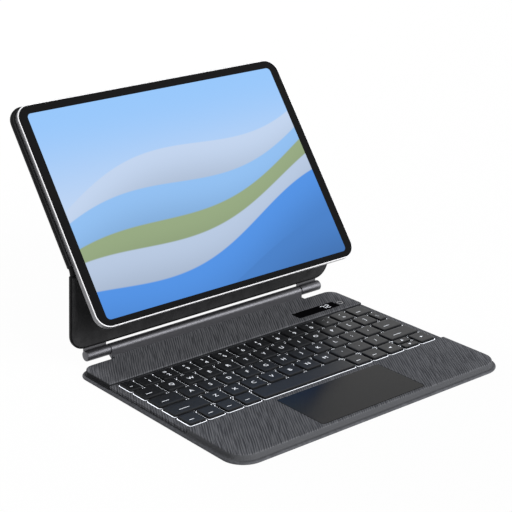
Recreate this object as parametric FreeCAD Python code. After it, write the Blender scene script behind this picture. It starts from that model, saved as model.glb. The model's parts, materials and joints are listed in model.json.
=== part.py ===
import FreeCAD, Part
import math
import os

# Tablet keyboard case, open on its stand with the tablet in place.
# Millimetres and degrees. X runs along the hinge, Y to the rear, Z up.
# The origin is the middle of the keyboard base's underside.

# Tablet that the case is cut for
TABLET_WIDTH = 247.6
TABLET_HEIGHT = 178.5
TABLET_THICKNESS = 5.9
TABLET_CORNER = 11.5
TABLET_RIM = 1.1
TABLET_BACK_BEVEL = 0.8
GLASS_THICKNESS = 0.8
CAMERA_SIZE = 28.0
CAMERA_CORNER = 8.0
CAMERA_EDGE = 22.0
CAMERA_RISE = 1.6
LENS_RADIUS = 5.0
LENS_RISE = 0.6

# Folding cover: stand and upper panel, each a board between two skins
SIDE_MARGIN = 2.6
TOP_MARGIN = 1.6
BOARD_THICKNESS = 1.7
SKIN_THICKNESS = 0.6
PANEL_CORNER = 12.0
STAND_CORNER = 13.0
STAND_LENGTH = 70.0
FOLD_GAP = 6.0
FOLD_STRIP_THICKNESS = 0.8
FOLD_STRIP_INSET = 0.6
TABLET_TO_HINGE = 21.6
SEAT_GAP = 0.1
CAMERA_ROOM = 4.0
MAGNET_LENGTH = 18.0
MAGNET_WIDTH = 6.0
MAGNET_SHY = 0.2
MAGNET_COLUMNS = 4
MAGNET_COLUMN_PITCH = 46.0
MAGNET_ROWS = 3
MAGNET_ROW_PITCH = 36.0
MAGNET_FROM_FOLD = 22.0
OPEN_ANGLE = 84.5
FOLD_ANGLE = 41.5

# Keyboard base, bottom to top
FRONT_MARGIN = 0.1
CLOSED_GAP = 0.6
DECK_FRONT_CORNER = 18.0
DECK_REAR_CORNER = 12.0
COVER_THICKNESS = 2.2
COVER_BEVEL = 0.6
PAD_INSET = 3.0
PAD_TOP = 6.5
PAD_BEVEL = 0.4
LEATHER = 0.8
GROOVE = 0.4
POCKET_FLOOR = 3.2
POCKET_WALL = 3.6
REAR_DEPTH = 37.7
FIT = 0.1

# Keys
KEY_SIDE_MARGIN = 7.9
KEY_ROW_PITCH = 17.8
KEY_GAP = 2.0
KEY_CORNER = 1.2
KEY_DRAFT = 0.4
KEY_WALL = 1.0
KEY_CROWN = 0.9
KEY_SHY = 0.1
KEY_SUNK = 0.4
KEY_CLEARANCE = 0.35
TROUGH_MARGIN = 2.0
TROUGH_DEPTH = 1.9
KEY_DECK_THICKNESS = 0.8
FIRST_KEY = 12.4
LAST_KEY = 18.2
TAB_KEY = 21.0
CAPS_KEY = 25.3
SHIFT_KEY = 33.9
MODIFIER_KEY = 16.3
ARROW_KEY = 16.48
EQUAL_KEYS = 12
GUIDE_THICKNESS = 0.3
SWITCH_PLATE_THICKNESS = 0.3
MEMBRANE_THICKNESS = 0.2
DOME_FOOT = 2.6
DOME_CROWN = 1.5
DOME_SIDES = 5

# Trackpad
TRACKPAD_WIDTH = 97.0
TRACKPAD_CORNER = 5.0
TRACKPAD_FRONT = 3.6
TRACKPAD_REAR = 5.4
TRACKPAD_GLASS = 0.8
TRACKPAD_BOARD = 0.8
TRACKPAD_SHY = 0.1
TRACKPAD_CLEARANCE = 0.3
TRACKPAD_BOARD_INSET = 2.0
BRACKET_THICKNESS = 0.4
BRACKET_TAB_WIDTH = 12.0
BRACKET_TAB_DEPTH = 3.0
BRACKET_TAB_SPREAD = 60.0
CLICK_DOME_RADIUS = 3.0
CLICK_GAP = 0.35
CLICK_FROM_FRONT = 9.0

# Gauge strip, power button, electronics
WINDOW_WIDTH = 42.6
WINDOW_DEPTH = 10.7
WINDOW_THICKNESS = 0.6
WINDOW_FROM_RIGHT = 18.0
WINDOW_SETBACK = 6.7
DISPLAY_WIDTH = 25.2
DISPLAY_DEPTH = 8.0
DISPLAY_INSET = 0.8
BUTTON_RADIUS = 3.4
BUTTON_HEIGHT = 1.5
BUTTON_PROUD = 0.1
BUTTON_CLEARANCE = 0.3
BUTTON_FROM_RIGHT = 13.8
BUTTON_SETBACK = 11.4
BOARD_WIDTH = 150.0
CIRCUIT_THICKNESS = 1.0
TACT_SIZE = 3.0
TACT_GAP = 0.5
CELL_THICKNESS = 2.3
PORT_WIDTH = 8.9
PORT_HEIGHT = 3.1
PORT_LENGTH = 7.3
PORT_WALL = 0.3
PORT_TONGUE_WIDTH = 6.6
PORT_TONGUE_THICKNESS = 0.7
PORT_TONGUE_LENGTH = 5.0
PORT_SEAT = 0.25

# Hinge
BARREL_RADIUS = 4.2
BARREL_LIFT = 0.3
AXIS_BEHIND = 4.3
STAND_CLEARANCE = 1.0
HINGE_INSET = 10.9
KNUCKLE_LENGTH = 21.0
KNUCKLE_GAP = 0.5
KNUCKLE_BEVEL = 1.0
TONGUE_LENGTH = 9.0
TONGUE_INSET = 2.0
SKIRT_STEP = 0.2
SKIRT_HEEL = 0.3
PIN_RADIUS = 1.6
PIN_IN_KNUCKLE = 17.0
PIN_IN_BARREL = 31.0
PIN_RUNNING_CLEARANCE = 0.05
SLEEVE_WALL = 1.0
BORE_SPARE = 1.0

# Sizes that follow
DECK_WIDTH = TABLET_WIDTH + 2 * SIDE_MARGIN
HALF_WIDTH = DECK_WIDTH / 2
DECK_DEPTH = TABLET_TO_HINGE + TABLET_HEIGHT + FRONT_MARGIN - AXIS_BEHIND
DECK_FRONT = -DECK_DEPTH / 2
DECK_REAR = DECK_DEPTH / 2
AXIS_Y = DECK_REAR + AXIS_BEHIND
AXIS_Z = PAD_TOP + BARREL_LIFT + BARREL_RADIUS

COVER_STACK = BOARD_THICKNESS + 2 * SKIN_THICKNESS
FACE = PAD_TOP + CLOSED_GAP + TABLET_THICKNESS + SEAT_GAP - AXIS_Z
CORE = FACE + SKIN_THICKNESS
STAND_START = BARREL_RADIUS + STAND_CLEARANCE
STAND_END = STAND_LENGTH - FOLD_GAP / 2
PANEL_START = STAND_LENGTH + FOLD_GAP / 2
PANEL_END = TABLET_TO_HINGE + TABLET_HEIGHT + TOP_MARGIN
FOLD_HEIGHT = FACE + COVER_STACK / 2

PAD_HALF = HALF_WIDTH - PAD_INSET
PAD_FRONT = DECK_FRONT + PAD_INSET
PAD_REAR = DECK_REAR - PAD_INSET
PAD_FLOOR = PAD_TOP - LEATHER
PAD_FRONT_CORNER = DECK_FRONT_CORNER - PAD_INSET
PAD_REAR_CORNER = DECK_REAR_CORNER - PAD_INSET
SKIRT_FOOT = COVER_THICKNESS + GROOVE
FRAME_HALF = PAD_HALF - LEATHER

TROUGH_REAR = PAD_REAR - REAR_DEPTH
TROUGH_FRONT = TROUGH_REAR - 2 * TROUGH_MARGIN - 5 * KEY_ROW_PITCH
TROUGH_FLOOR = PAD_TOP - TROUGH_DEPTH
KEY_DECK_FOOT = TROUGH_FLOOR - KEY_DECK_THICKNESS
BLOCK_FRONT = TROUGH_FRONT + TROUGH_MARGIN
BLOCK_REAR = TROUGH_REAR - TROUGH_MARGIN
BLOCK_HALF = HALF_WIDTH - KEY_SIDE_MARGIN
EDGE_KEYS = FIRST_KEY + LAST_KEY
KEY_PITCH = (2 * BLOCK_HALF - EDGE_KEYS) / EQUAL_KEYS
KEY_TOP = PAD_TOP - KEY_SHY
KEY_FOOT = TROUGH_FLOOR - KEY_SUNK
KEY_CEILING = KEY_TOP - KEY_CROWN
SWITCH_PLATE_FOOT = COVER_THICKNESS + GUIDE_THICKNESS
MEMBRANE_FOOT = SWITCH_PLATE_FOOT + SWITCH_PLATE_THICKNESS
MEMBRANE_TOP = MEMBRANE_FOOT + MEMBRANE_THICKNESS

TRACKPAD_NEAR = PAD_FRONT + TRACKPAD_FRONT
TRACKPAD_FAR = TROUGH_FRONT - TRACKPAD_REAR
TRACKPAD_TOP = PAD_TOP - TRACKPAD_SHY
TRACKPAD_GLASS_FOOT = TRACKPAD_TOP - TRACKPAD_GLASS
TRACKPAD_FOOT = TRACKPAD_GLASS_FOOT - TRACKPAD_BOARD

WINDOW_RIGHT = PAD_HALF - WINDOW_FROM_RIGHT
WINDOW_LEFT = WINDOW_RIGHT - WINDOW_WIDTH
WINDOW_NEAR = TROUGH_REAR + WINDOW_SETBACK
WINDOW_FAR = WINDOW_NEAR + WINDOW_DEPTH
WINDOW_FOOT = PAD_TOP - WINDOW_THICKNESS
BUTTON_X = PAD_HALF - BUTTON_FROM_RIGHT
BUTTON_Y = TROUGH_REAR + BUTTON_SETBACK
BUTTON_FOOT = PAD_TOP + BUTTON_PROUD - BUTTON_HEIGHT
POCKET_RIGHT = FRAME_HALF - POCKET_WALL
POCKET_NEAR = TROUGH_REAR + LEATHER + FIT
POCKET_FAR = PAD_REAR - LEATHER - POCKET_WALL
PORT_Y = (TROUGH_REAR + PAD_REAR) / 2
PORT_FOOT = COVER_THICKNESS + PORT_SEAT
PORT_MIDDLE = PORT_FOOT + PORT_HEIGHT / 2
PORT_BACK = PAD_HALF - PORT_LENGTH

KNUCKLE_END = HALF_WIDTH - HINGE_INSET
KNUCKLE_START = KNUCKLE_END - KNUCKLE_LENGTH
BARREL_LENGTH = 2 * (KNUCKLE_START - KNUCKLE_GAP)

X_AXIS = FreeCAD.Vector(1, 0, 0)
Z_AXIS = FreeCAD.Vector(0, 0, 1)
CORNER_TURNS = [((0, -1), (1, 0)), ((1, 0), (0, 1)), ((0, 1), (-1, 0)), ((-1, 0), (0, -1))]


def point(x, y, z):
    return FreeCAD.Vector(x, y, z)


def outline(x0, x1, y0, y1, z, radii):
    """Rectangle with rounded corners; radii run front left, front right, rear right, rear left."""
    corners = [point(x0, y0, z), point(x1, y0, z), point(x1, y1, z), point(x0, y1, z)]
    edges = []
    ends = []
    for corner, radius, (arrive, leave) in zip(corners, radii, CORNER_TURNS):
        before = point(*arrive, 0)
        after = point(*leave, 0)
        start = corner - before * radius
        end = corner + after * radius
        ends.append((start, end))
        if radius > 0:
            middle = start + after * radius + (before - after) * (radius / math.sqrt(2))
            edges.append(Part.Arc(start, middle, end).toShape())
    for (_, end), (start, _) in zip(ends, ends[1:] + ends[:1]):
        edges.append(Part.makeLine(end, start))
    return Part.Wire(Part.__sortEdges__(edges))


def polygon(corners):
    return Part.makePolygon(corners + corners[:1])


def cut_outline(x0, x1, y0, y1, z, cut):
    """Rectangle with its corners cut off at 45 degrees."""
    return polygon([
        point(x0 + cut, y0, z), point(x1 - cut, y0, z), point(x1, y0 + cut, z), point(x1, y1 - cut, z),
        point(x1 - cut, y1, z), point(x0 + cut, y1, z), point(x0, y1 - cut, z), point(x0, y0 + cut, z),
    ])


def prism(x0, x1, y0, y1, z0, z1, radii=(0, 0, 0, 0)):
    return Part.Face(outline(x0, x1, y0, y1, z0, radii)).extrude(point(0, 0, z1 - z0))


def rod(x0, x1, radius):
    """Round bar on the hinge axis."""
    return Part.makeCylinder(radius, x1 - x0, point(x0, AXIS_Y, AXIS_Z), X_AXIS)


def edges_at(shape, z):
    """Edges that lie flat at one height."""
    flat = 1e-6
    return [e for e in shape.Edges if abs(e.BoundBox.ZMin - z) < flat and abs(e.BoundBox.ZMax - z) < flat]


def mirrored(shape):
    return shape.mirror(point(0, 0, 0), X_AXIS)


def open_stand(shape):
    """Swings a piece of the closed cover up about the hinge axis."""
    opened = shape.copy()
    opened.rotate(point(0, AXIS_Y, AXIS_Z), -X_AXIS, OPEN_ANGLE)
    return opened


def open_panel(shape):
    """Bends a piece of the closed upper panel back at the fold, then swings it up."""
    bent = shape.copy()
    bent.rotate(point(0, AXIS_Y - STAND_LENGTH, AXIS_Z + FOLD_HEIGHT), -X_AXIS, FOLD_ANGLE)
    return open_stand(bent)


def cover_plate(inset, near, far, low, high, near_corner, far_corner):
    """Plate of the closed cover: near and far are distances from the hinge axis, low and high are heights."""
    half = HALF_WIDTH - inset
    radii = [max(r - inset, 0) for r in (far_corner, far_corner, near_corner, near_corner)]
    return prism(-half, half, AXIS_Y - far + inset, AXIS_Y - near - inset, AXIS_Z + low, AXIS_Z + high, radii)


def wrapped_board(near, far, near_corner, far_corner):
    """Board, inner skin and outer skin; the outer skin turns in round the board's edge."""
    shape = (near_corner, far_corner)
    board = cover_plate(SKIN_THICKNESS, near, far, CORE, CORE + BOARD_THICKNESS, *shape)
    inner = cover_plate(0, near, far, FACE, CORE, *shape)
    outer = cover_plate(0, near, far, CORE, FACE + COVER_STACK, *shape).cut(board)
    return board, inner, outer


def knuckle():
    """Right end of the hinge: a round end piece with a tongue that goes into the stand."""
    barrel = rod(KNUCKLE_START, KNUCKLE_END, BARREL_RADIUS)
    rim = [e for e in barrel.Edges if e.BoundBox.XMin > KNUCKLE_END - KNUCKLE_BEVEL]
    barrel = barrel.makeChamfer(KNUCKLE_BEVEL, rim)
    low, high = AXIS_Z + CORE, AXIS_Z + CORE + BOARD_THICKNESS
    left, right = KNUCKLE_START, KNUCKLE_END - KNUCKLE_BEVEL
    web = prism(left, right, AXIS_Y - STAND_START, AXIS_Y - PIN_RADIUS, low, high)
    solid = barrel.fuse([web, tongue()]).removeSplitter()
    return solid.cut(rod(KNUCKLE_START, KNUCKLE_START + PIN_IN_KNUCKLE, PIN_RADIUS))


def tongue():
    """The part of the right knuckle that lies between the stand's skins."""
    left, right = KNUCKLE_START + TONGUE_INSET, KNUCKLE_END - KNUCKLE_BEVEL - TONGUE_INSET
    near, far = AXIS_Y - STAND_START - TONGUE_LENGTH, AXIS_Y - STAND_START
    return prism(left, right, near, far, AXIS_Z + CORE, AXIS_Z + CORE + BOARD_THICKNESS)


def stand():
    board, inner, outer = wrapped_board(STAND_START, STAND_END, STAND_CORNER, 0)
    tongues = [tongue(), mirrored(tongue())]
    pin = rod(KNUCKLE_START - KNUCKLE_GAP - PIN_IN_BARREL, KNUCKLE_START + PIN_IN_KNUCKLE, PIN_RADIUS)
    return {
        "stand_board": open_stand(board.cut(tongues)),
        "stand_inner_skin": open_stand(inner),
        "stand_outer_skin": open_stand(outer.cut(tongues)),
        "knuckle_left": open_stand(mirrored(knuckle())),
        "knuckle_right": open_stand(knuckle()),
        "hinge_pins": open_stand(Part.makeCompound([mirrored(pin), pin])),
        "fold_strip": open_stand(fold_strip()),
    }


def fold_strip():
    """Bent strip between the two boards, an arc that leaves both of them square to their edges."""
    bend = math.radians(FOLD_ANGLE)
    radius = FOLD_GAP / 2 / math.tan(bend / 2)
    start_y = AXIS_Y - STAND_END
    centre_z = AXIS_Z + FOLD_HEIGHT + radius

    def on_arc(share, offset):
        turn = bend * share
        reach = radius + offset
        return point(0, start_y - reach * math.sin(turn), centre_z - reach * math.cos(turn))

    half = FOLD_STRIP_THICKNESS / 2
    lower = Part.Arc(on_arc(0, half), on_arc(0.5, half), on_arc(1, half)).toShape()
    upper = Part.Arc(on_arc(0, -half), on_arc(0.5, -half), on_arc(1, -half)).toShape()
    near_end = Part.makeLine(on_arc(0, half), on_arc(0, -half))
    far_end = Part.makeLine(on_arc(1, half), on_arc(1, -half))
    face = Part.Face(Part.Wire(Part.__sortEdges__([lower, far_end, upper, near_end])))
    strip = face.extrude(point(DECK_WIDTH - 2 * FOLD_STRIP_INSET, 0, 0))
    strip.translate(point(FOLD_STRIP_INSET - HALF_WIDTH, 0, 0))
    return strip


def magnet_places():
    """Middle of each magnet of the closed panel: x, and distance from the hinge axis."""
    for column in range(MAGNET_COLUMNS):
        x = (column - (MAGNET_COLUMNS - 1) / 2) * MAGNET_COLUMN_PITCH
        for row in range(MAGNET_ROWS):
            yield x, PANEL_START + MAGNET_FROM_FOLD + row * MAGNET_ROW_PITCH


def camera_middle():
    return TABLET_WIDTH / 2 - CAMERA_EDGE, AXIS_Y - TABLET_TO_HINGE - TABLET_HEIGHT + CAMERA_EDGE


def camera_square(size, low, high, corner):
    x, y = camera_middle()
    half = size / 2
    return prism(x - half, x + half, y - half, y + half, AXIS_Z + low, AXIS_Z + high, (corner,) * 4)


def panel():
    board, inner, outer = wrapped_board(PANEL_START, PANEL_END, 0, PANEL_CORNER)
    opening = CAMERA_SIZE + 2 * CAMERA_ROOM
    window = camera_square(opening, FACE, FACE + COVER_STACK, CAMERA_CORNER + CAMERA_ROOM)
    half_width, half_length = MAGNET_WIDTH / 2, MAGNET_LENGTH / 2
    top = AXIS_Z + CORE + BOARD_THICKNESS - MAGNET_SHY
    magnets = []
    for x, reach in magnet_places():
        y = AXIS_Y - reach
        near, far = y - half_length, y + half_length
        magnets.append(prism(x - half_width, x + half_width, near, far, AXIS_Z + CORE, top))
    return {
        "panel_board": open_panel(board.cut([window] + magnets)),
        "panel_inner_skin": open_panel(inner.cut(window)),
        "panel_outer_skin": open_panel(outer.cut(window)),
        "holding_magnets": open_panel(Part.makeCompound(magnets)),
    }


def tablet():
    back = FACE - SEAT_GAP
    front = back - TABLET_THICKNESS
    half = TABLET_WIDTH / 2
    near, far = AXIS_Y - TABLET_TO_HINGE, AXIS_Y - TABLET_TO_HINGE - TABLET_HEIGHT
    body = prism(-half, half, far, near, AXIS_Z + front, AXIS_Z + back, (TABLET_CORNER,) * 4)
    body = body.makeChamfer(TABLET_BACK_BEVEL, edges_at(body, AXIS_Z + back))
    glass = prism(-half + TABLET_RIM, half - TABLET_RIM, far + TABLET_RIM, near - TABLET_RIM,
                  AXIS_Z + front, AXIS_Z + front + GLASS_THICKNESS, (TABLET_CORNER - TABLET_RIM,) * 4)
    island = camera_square(CAMERA_SIZE, back, back + CAMERA_RISE, CAMERA_CORNER)
    x, y = camera_middle()
    lenses = []
    for side in (-1, 1):
        place = point(x + side * CAMERA_SIZE / 4, y + side * CAMERA_SIZE / 4, AXIS_Z + back + CAMERA_RISE)
        lenses.append(Part.makeCylinder(LENS_RADIUS, LENS_RISE, place, Z_AXIS))
    return {
        "tablet_housing": open_panel(body.cut(glass)),
        "tablet_glass": open_panel(glass),
        "tablet_camera": open_panel(island.fuse(lenses).removeSplitter()),
    }


def bottom_cover():
    radii = (DECK_FRONT_CORNER, DECK_FRONT_CORNER, DECK_REAR_CORNER, DECK_REAR_CORNER)
    plate = prism(-HALF_WIDTH, HALF_WIDTH, DECK_FRONT, DECK_REAR, 0, COVER_THICKNESS, radii)
    return plate.makeChamfer(COVER_BEVEL, edges_at(plate, COVER_THICKNESS))


def pad_radii(front, rear, inset):
    return [max(r - inset, 0) for r in (front, front, rear, rear)]


def pad(y0, y1, front_corner, rear_corner, trough_near, trough_far):
    """Leather-faced cap with a skirt round its edge; the skirt is short where the key deck runs under it."""
    cap = prism(-PAD_HALF, PAD_HALF, y0, y1, SKIRT_FOOT, PAD_TOP, pad_radii(front_corner, rear_corner, 0))
    cap = cap.makeChamfer(PAD_BEVEL, edges_at(cap, PAD_TOP))
    inside = prism(-PAD_HALF + LEATHER, PAD_HALF - LEATHER, y0 + LEATHER, y1 - LEATHER, SKIRT_FOOT, PAD_FLOOR,
                   pad_radii(front_corner, rear_corner, LEATHER))
    under_lip = prism(-PAD_HALF, PAD_HALF, trough_near, trough_far, SKIRT_FOOT, TROUGH_FLOOR)
    return cap.cut([inside, under_lip])


def palm_pad():
    cap = pad(PAD_FRONT, TROUGH_FRONT, PAD_FRONT_CORNER, 0, TROUGH_FRONT - LEATHER, TROUGH_FRONT)
    return cap.cut(trackpad_room(PAD_FLOOR, PAD_TOP, TRACKPAD_CORNER + TRACKPAD_CLEARANCE))


def rear_pad():
    cap = pad(TROUGH_REAR, PAD_REAR, 0, PAD_REAR_CORNER, TROUGH_REAR, TROUGH_REAR + LEATHER)
    place = point(BUTTON_X, BUTTON_Y, PAD_FLOOR)
    button_hole = Part.makeCylinder(BUTTON_RADIUS + BUTTON_CLEARANCE, LEATHER, place, Z_AXIS)
    return cap.cut([window_plate(PAD_FLOOR), button_hole, port_shape(FIT, PORT_BACK, PAD_HALF)])


def trackpad_plate(inset, low, high, corner):
    half = TRACKPAD_WIDTH / 2 - inset
    return prism(-half, half, TRACKPAD_NEAR + inset, TRACKPAD_FAR - inset, low, high, (corner,) * 4)


def trackpad_room(low, high, corner):
    """The trackpad's outline with its clearance all round."""
    return trackpad_plate(-TRACKPAD_CLEARANCE, low, high, corner)


def window_plate(low):
    return prism(WINDOW_LEFT, WINDOW_RIGHT, WINDOW_NEAR, WINDOW_FAR, low, PAD_TOP)


def port_shape(grow, x0, x1):
    """Flat-sided slot with round ends, lying along X: the outside of the charge port, grown evenly."""
    radius = PORT_HEIGHT / 2 + grow
    reach = PORT_WIDTH / 2 - PORT_HEIGHT / 2
    ends = []
    for side in (-1, 1):
        place = point(x0, PORT_Y + side * reach, PORT_MIDDLE)
        ends.append(Part.makeCylinder(radius, x1 - x0, place, X_AXIS))
    middle = prism(x0, x1, PORT_Y - reach, PORT_Y + reach, PORT_MIDDLE - radius, PORT_MIDDLE + radius)
    return middle.fuse(ends).removeSplitter()


def charge_port():
    shell = port_shape(0, PORT_BACK, PAD_HALF).cut(port_shape(-PORT_WALL, PORT_BACK + PORT_WALL, PAD_HALF))
    half_width, half_thick = PORT_TONGUE_WIDTH / 2, PORT_TONGUE_THICKNESS / 2
    blade = prism(PORT_BACK, PORT_BACK + PORT_TONGUE_LENGTH, PORT_Y - half_width, PORT_Y + half_width,
                  PORT_MIDDLE - half_thick, PORT_MIDDLE + half_thick)
    return shell.fuse(blade).removeSplitter()


def battery_cell(side, clearance, top):
    """One flat cell beside the trackpad; side is -1 on the left and 1 on the right."""
    inner = TRACKPAD_WIDTH / 2 + POCKET_WALL
    outer = FRAME_HALF - POCKET_WALL
    low, high = sorted((side * (inner - clearance), side * (outer + clearance)))
    near = PAD_FRONT + PAD_FRONT_CORNER / 2 - clearance
    far = TROUGH_FRONT - LEATHER - POCKET_WALL + clearance
    return prism(low, high, near, far, POCKET_FLOOR, top)


def keyboard_frame():
    radii = pad_radii(PAD_FRONT_CORNER, PAD_REAR_CORNER, LEATHER)
    near, far = PAD_FRONT + LEATHER, PAD_REAR - LEATHER
    tray = prism(-FRAME_HALF, FRAME_HALF, near, far, COVER_THICKNESS, PAD_FLOOR, radii)
    near, far = TROUGH_FRONT - LEATHER, TROUGH_REAR + LEATHER
    strip = prism(-FRAME_HALF, FRAME_HALF, near, far, KEY_DECK_FOOT, PAD_FLOOR)
    well = switch_layer(-FIT, COVER_THICKNESS, KEY_DECK_FOOT)
    cells = [battery_cell(side, FIT, PAD_FLOOR) for side in (-1, 1)]
    rear = prism(POCKET_RIGHT - BOARD_WIDTH, POCKET_RIGHT, POCKET_NEAR, POCKET_FAR, POCKET_FLOOR, PAD_FLOOR)
    trackpad = trackpad_room(POCKET_FLOOR, PAD_FLOOR, 0)
    return tray.cut([strip, well, rear, trackpad, port_shape(0, PORT_BACK, PAD_HALF)] + cells)


def switch_layer(inset, low, high):
    return prism(-BLOCK_HALF + inset, BLOCK_HALF - inset, BLOCK_FRONT + inset, BLOCK_REAR - inset, low, high)


def key_cells():
    """Every key's node name and cell (x0, x1, y0, y1), row by row from the rear."""
    spare = EDGE_KEYS + KEY_PITCH
    space = 2 * BLOCK_HALF - 4 * MODIFIER_KEY - 5 * ARROW_KEY
    rows = [
        [("escape_key", FIRST_KEY)] + [("number_keys", KEY_PITCH)] * EQUAL_KEYS + [("delete_key", LAST_KEY)],
        [("tab_key", TAB_KEY)] + [("upper_letter_keys", KEY_PITCH)] * EQUAL_KEYS
        + [("backslash_key", EDGE_KEYS - TAB_KEY)],
        [("caps_key", CAPS_KEY)] + [("home_letter_keys", KEY_PITCH)] * (EQUAL_KEYS - 1)
        + [("return_key", spare - CAPS_KEY)],
        [("left_shift_key", SHIFT_KEY)] + [("lower_letter_keys", KEY_PITCH)] * (EQUAL_KEYS - 2)
        + [("right_shift_key", spare + KEY_PITCH - SHIFT_KEY)],
        [("function_key", MODIFIER_KEY), ("control_key", MODIFIER_KEY), ("option_key", MODIFIER_KEY),
         ("command_key", MODIFIER_KEY), ("space_bar", space), ("right_command_key", ARROW_KEY),
         ("right_option_key", ARROW_KEY), ("left_arrow_key", ARROW_KEY), ("up_and_down", ARROW_KEY),
         ("right_arrow_key", ARROW_KEY)],
    ]
    for number, row in enumerate(rows):
        rear = BLOCK_REAR - number * KEY_ROW_PITCH
        front = rear - KEY_ROW_PITCH
        x = -BLOCK_HALF
        for node, width in row:
            if node == "up_and_down":
                middle = (front + rear) / 2
                yield "up_arrow_key", (x, x + width, middle, rear)
                yield "down_arrow_key", (x, x + width, front, middle)
            else:
                yield node, (x, x + width, front, rear)
            x += width


def keycap(x0, x1, y0, y1):
    """Hollow cap with drawn-in sides, filling its cell less half a gap all round.

    The corner cuts touch the middle of the real cap's small round: so many caps have few faces each.
    """
    rim = KEY_GAP / 2
    top = rim + KEY_DRAFT
    inside = rim + KEY_WALL
    foot = cut_outline(x0 + rim, x1 - rim, y0 + rim, y1 - rim, KEY_FOOT, KEY_CORNER)
    crown = cut_outline(x0 + top, x1 - top, y0 + top, y1 - top, KEY_TOP, KEY_CORNER)
    hollow = prism(x0 + inside, x1 - inside, y0 + inside, y1 - inside, KEY_FOOT, KEY_CEILING)
    return Part.makeLoft([foot, crown], True, True).cut(hollow)


def key_opening(x0, x1, y0, y1):
    edge = KEY_GAP / 2 - KEY_CLEARANCE
    return prism(x0 + edge, x1 - edge, y0 + edge, y1 - edge, KEY_DECK_FOOT, TROUGH_FLOOR)


def key_dome(x0, x1, y0, y1):
    """Tapered rubber spring under one key, with few sides because there are so many."""
    middle = point((x0 + x1) / 2, (y0 + y1) / 2, 0)
    turns = [math.radians(360 * side / DOME_SIDES) for side in range(DOME_SIDES)]

    def ring(radius, z):
        return [middle + point(radius * math.cos(turn), radius * math.sin(turn), z) for turn in turns]

    foot = ring(DOME_FOOT, MEMBRANE_TOP)
    crown = ring(DOME_CROWN, KEY_CEILING)
    sides = [[foot[n - 1], foot[n], crown[n], crown[n - 1]] for n in range(DOME_SIDES)]
    return Part.Solid(Part.Shell([Part.Face(polygon(corners)) for corners in [foot, crown] + sides]))


def keys():
    """Keys of one size in one row share a node as separate solids; every other key has its own."""
    caps = {}
    for node, cell in key_cells():
        caps.setdefault(node, []).append(keycap(*cell))
    return {node: Part.makeCompound(solids) for node, solids in caps.items()}


def key_deck():
    """Sunken panel with an opening for every key and a skirt down each end."""
    near, far = TROUGH_FRONT - LEATHER, TROUGH_REAR + LEATHER
    plate = prism(-PAD_HALF, PAD_HALF, TROUGH_FRONT, TROUGH_REAR, SKIRT_FOOT, TROUGH_FLOOR)
    tongue_plate = prism(-FRAME_HALF, FRAME_HALF, near, far, KEY_DECK_FOOT, TROUGH_FLOOR)
    inside = prism(-FRAME_HALF, FRAME_HALF, TROUGH_FRONT, TROUGH_REAR, SKIRT_FOOT, KEY_DECK_FOOT)
    openings = [key_opening(*cell) for _, cell in key_cells()]
    return plate.cut(inside).fuse(tongue_plate).removeSplitter().cut(openings)


def trackpad_bracket():
    """Steel plate in the trackpad well, with two rear tabs and the click dome."""
    top = POCKET_FLOOR + BRACKET_THICKNESS
    plate = trackpad_plate(TRACKPAD_BOARD_INSET, POCKET_FLOOR, top, 0)
    rear = TRACKPAD_FAR - TRACKPAD_BOARD_INSET
    half = BRACKET_TAB_WIDTH / 2
    tab_top = TRACKPAD_FOOT - FIT
    tabs = []
    for side in (-1, 1):
        x = side * BRACKET_TAB_SPREAD / 2
        tabs.append(prism(x - half, x + half, rear - BRACKET_TAB_DEPTH, rear, POCKET_FLOOR, tab_top))
    place = point(0, TRACKPAD_NEAR + CLICK_FROM_FRONT, POCKET_FLOOR)
    dome = Part.makeCylinder(CLICK_DOME_RADIUS, TRACKPAD_FOOT - CLICK_GAP - POCKET_FLOOR, place, Z_AXIS)
    return plate.fuse(tabs + [dome]).removeSplitter()


def control_board():
    """Circuit board in the rear pocket, with the push switch under the power button."""
    top = POCKET_FLOOR + CIRCUIT_THICKNESS
    board = prism(POCKET_RIGHT - BOARD_WIDTH + FIT, POCKET_RIGHT - FIT, POCKET_NEAR + FIT, POCKET_FAR - FIT,
                  POCKET_FLOOR, top)
    half = TACT_SIZE / 2
    tact = prism(BUTTON_X - half, BUTTON_X + half, BUTTON_Y - half, BUTTON_Y + half, POCKET_FLOOR,
                 BUTTON_FOOT - TACT_GAP)
    return board.fuse(tact).removeSplitter().cut(port_shape(FIT, PORT_BACK, PAD_HALF))


def gauge_display():
    far = (WINDOW_NEAR + WINDOW_FAR + DISPLAY_DEPTH) / 2
    near = far - DISPLAY_DEPTH
    right = WINDOW_RIGHT - DISPLAY_INSET
    return prism(right - DISPLAY_WIDTH, right, near, far, POCKET_FLOOR + CIRCUIT_THICKNESS, WINDOW_FOOT)


def tangent_point(y, z, side):
    """Where a line from (y, z) touches the barrel: side 1 is the upper touch, side -1 the lower."""
    dy, dz = AXIS_Y - y, AXIS_Z - z
    reach = math.hypot(dy, dz)
    angle = math.atan2(dz, dy) + side * math.asin(BARREL_RADIUS / reach)
    length = math.sqrt(reach ** 2 - BARREL_RADIUS ** 2)
    return y + length * math.cos(angle), z + length * math.sin(angle)


def sleeve(bore):
    """Right friction sleeve on the hinge axis, or the room that it takes."""
    end = BARREL_LENGTH / 2
    return rod(end - PIN_IN_BARREL, end, bore)


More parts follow.
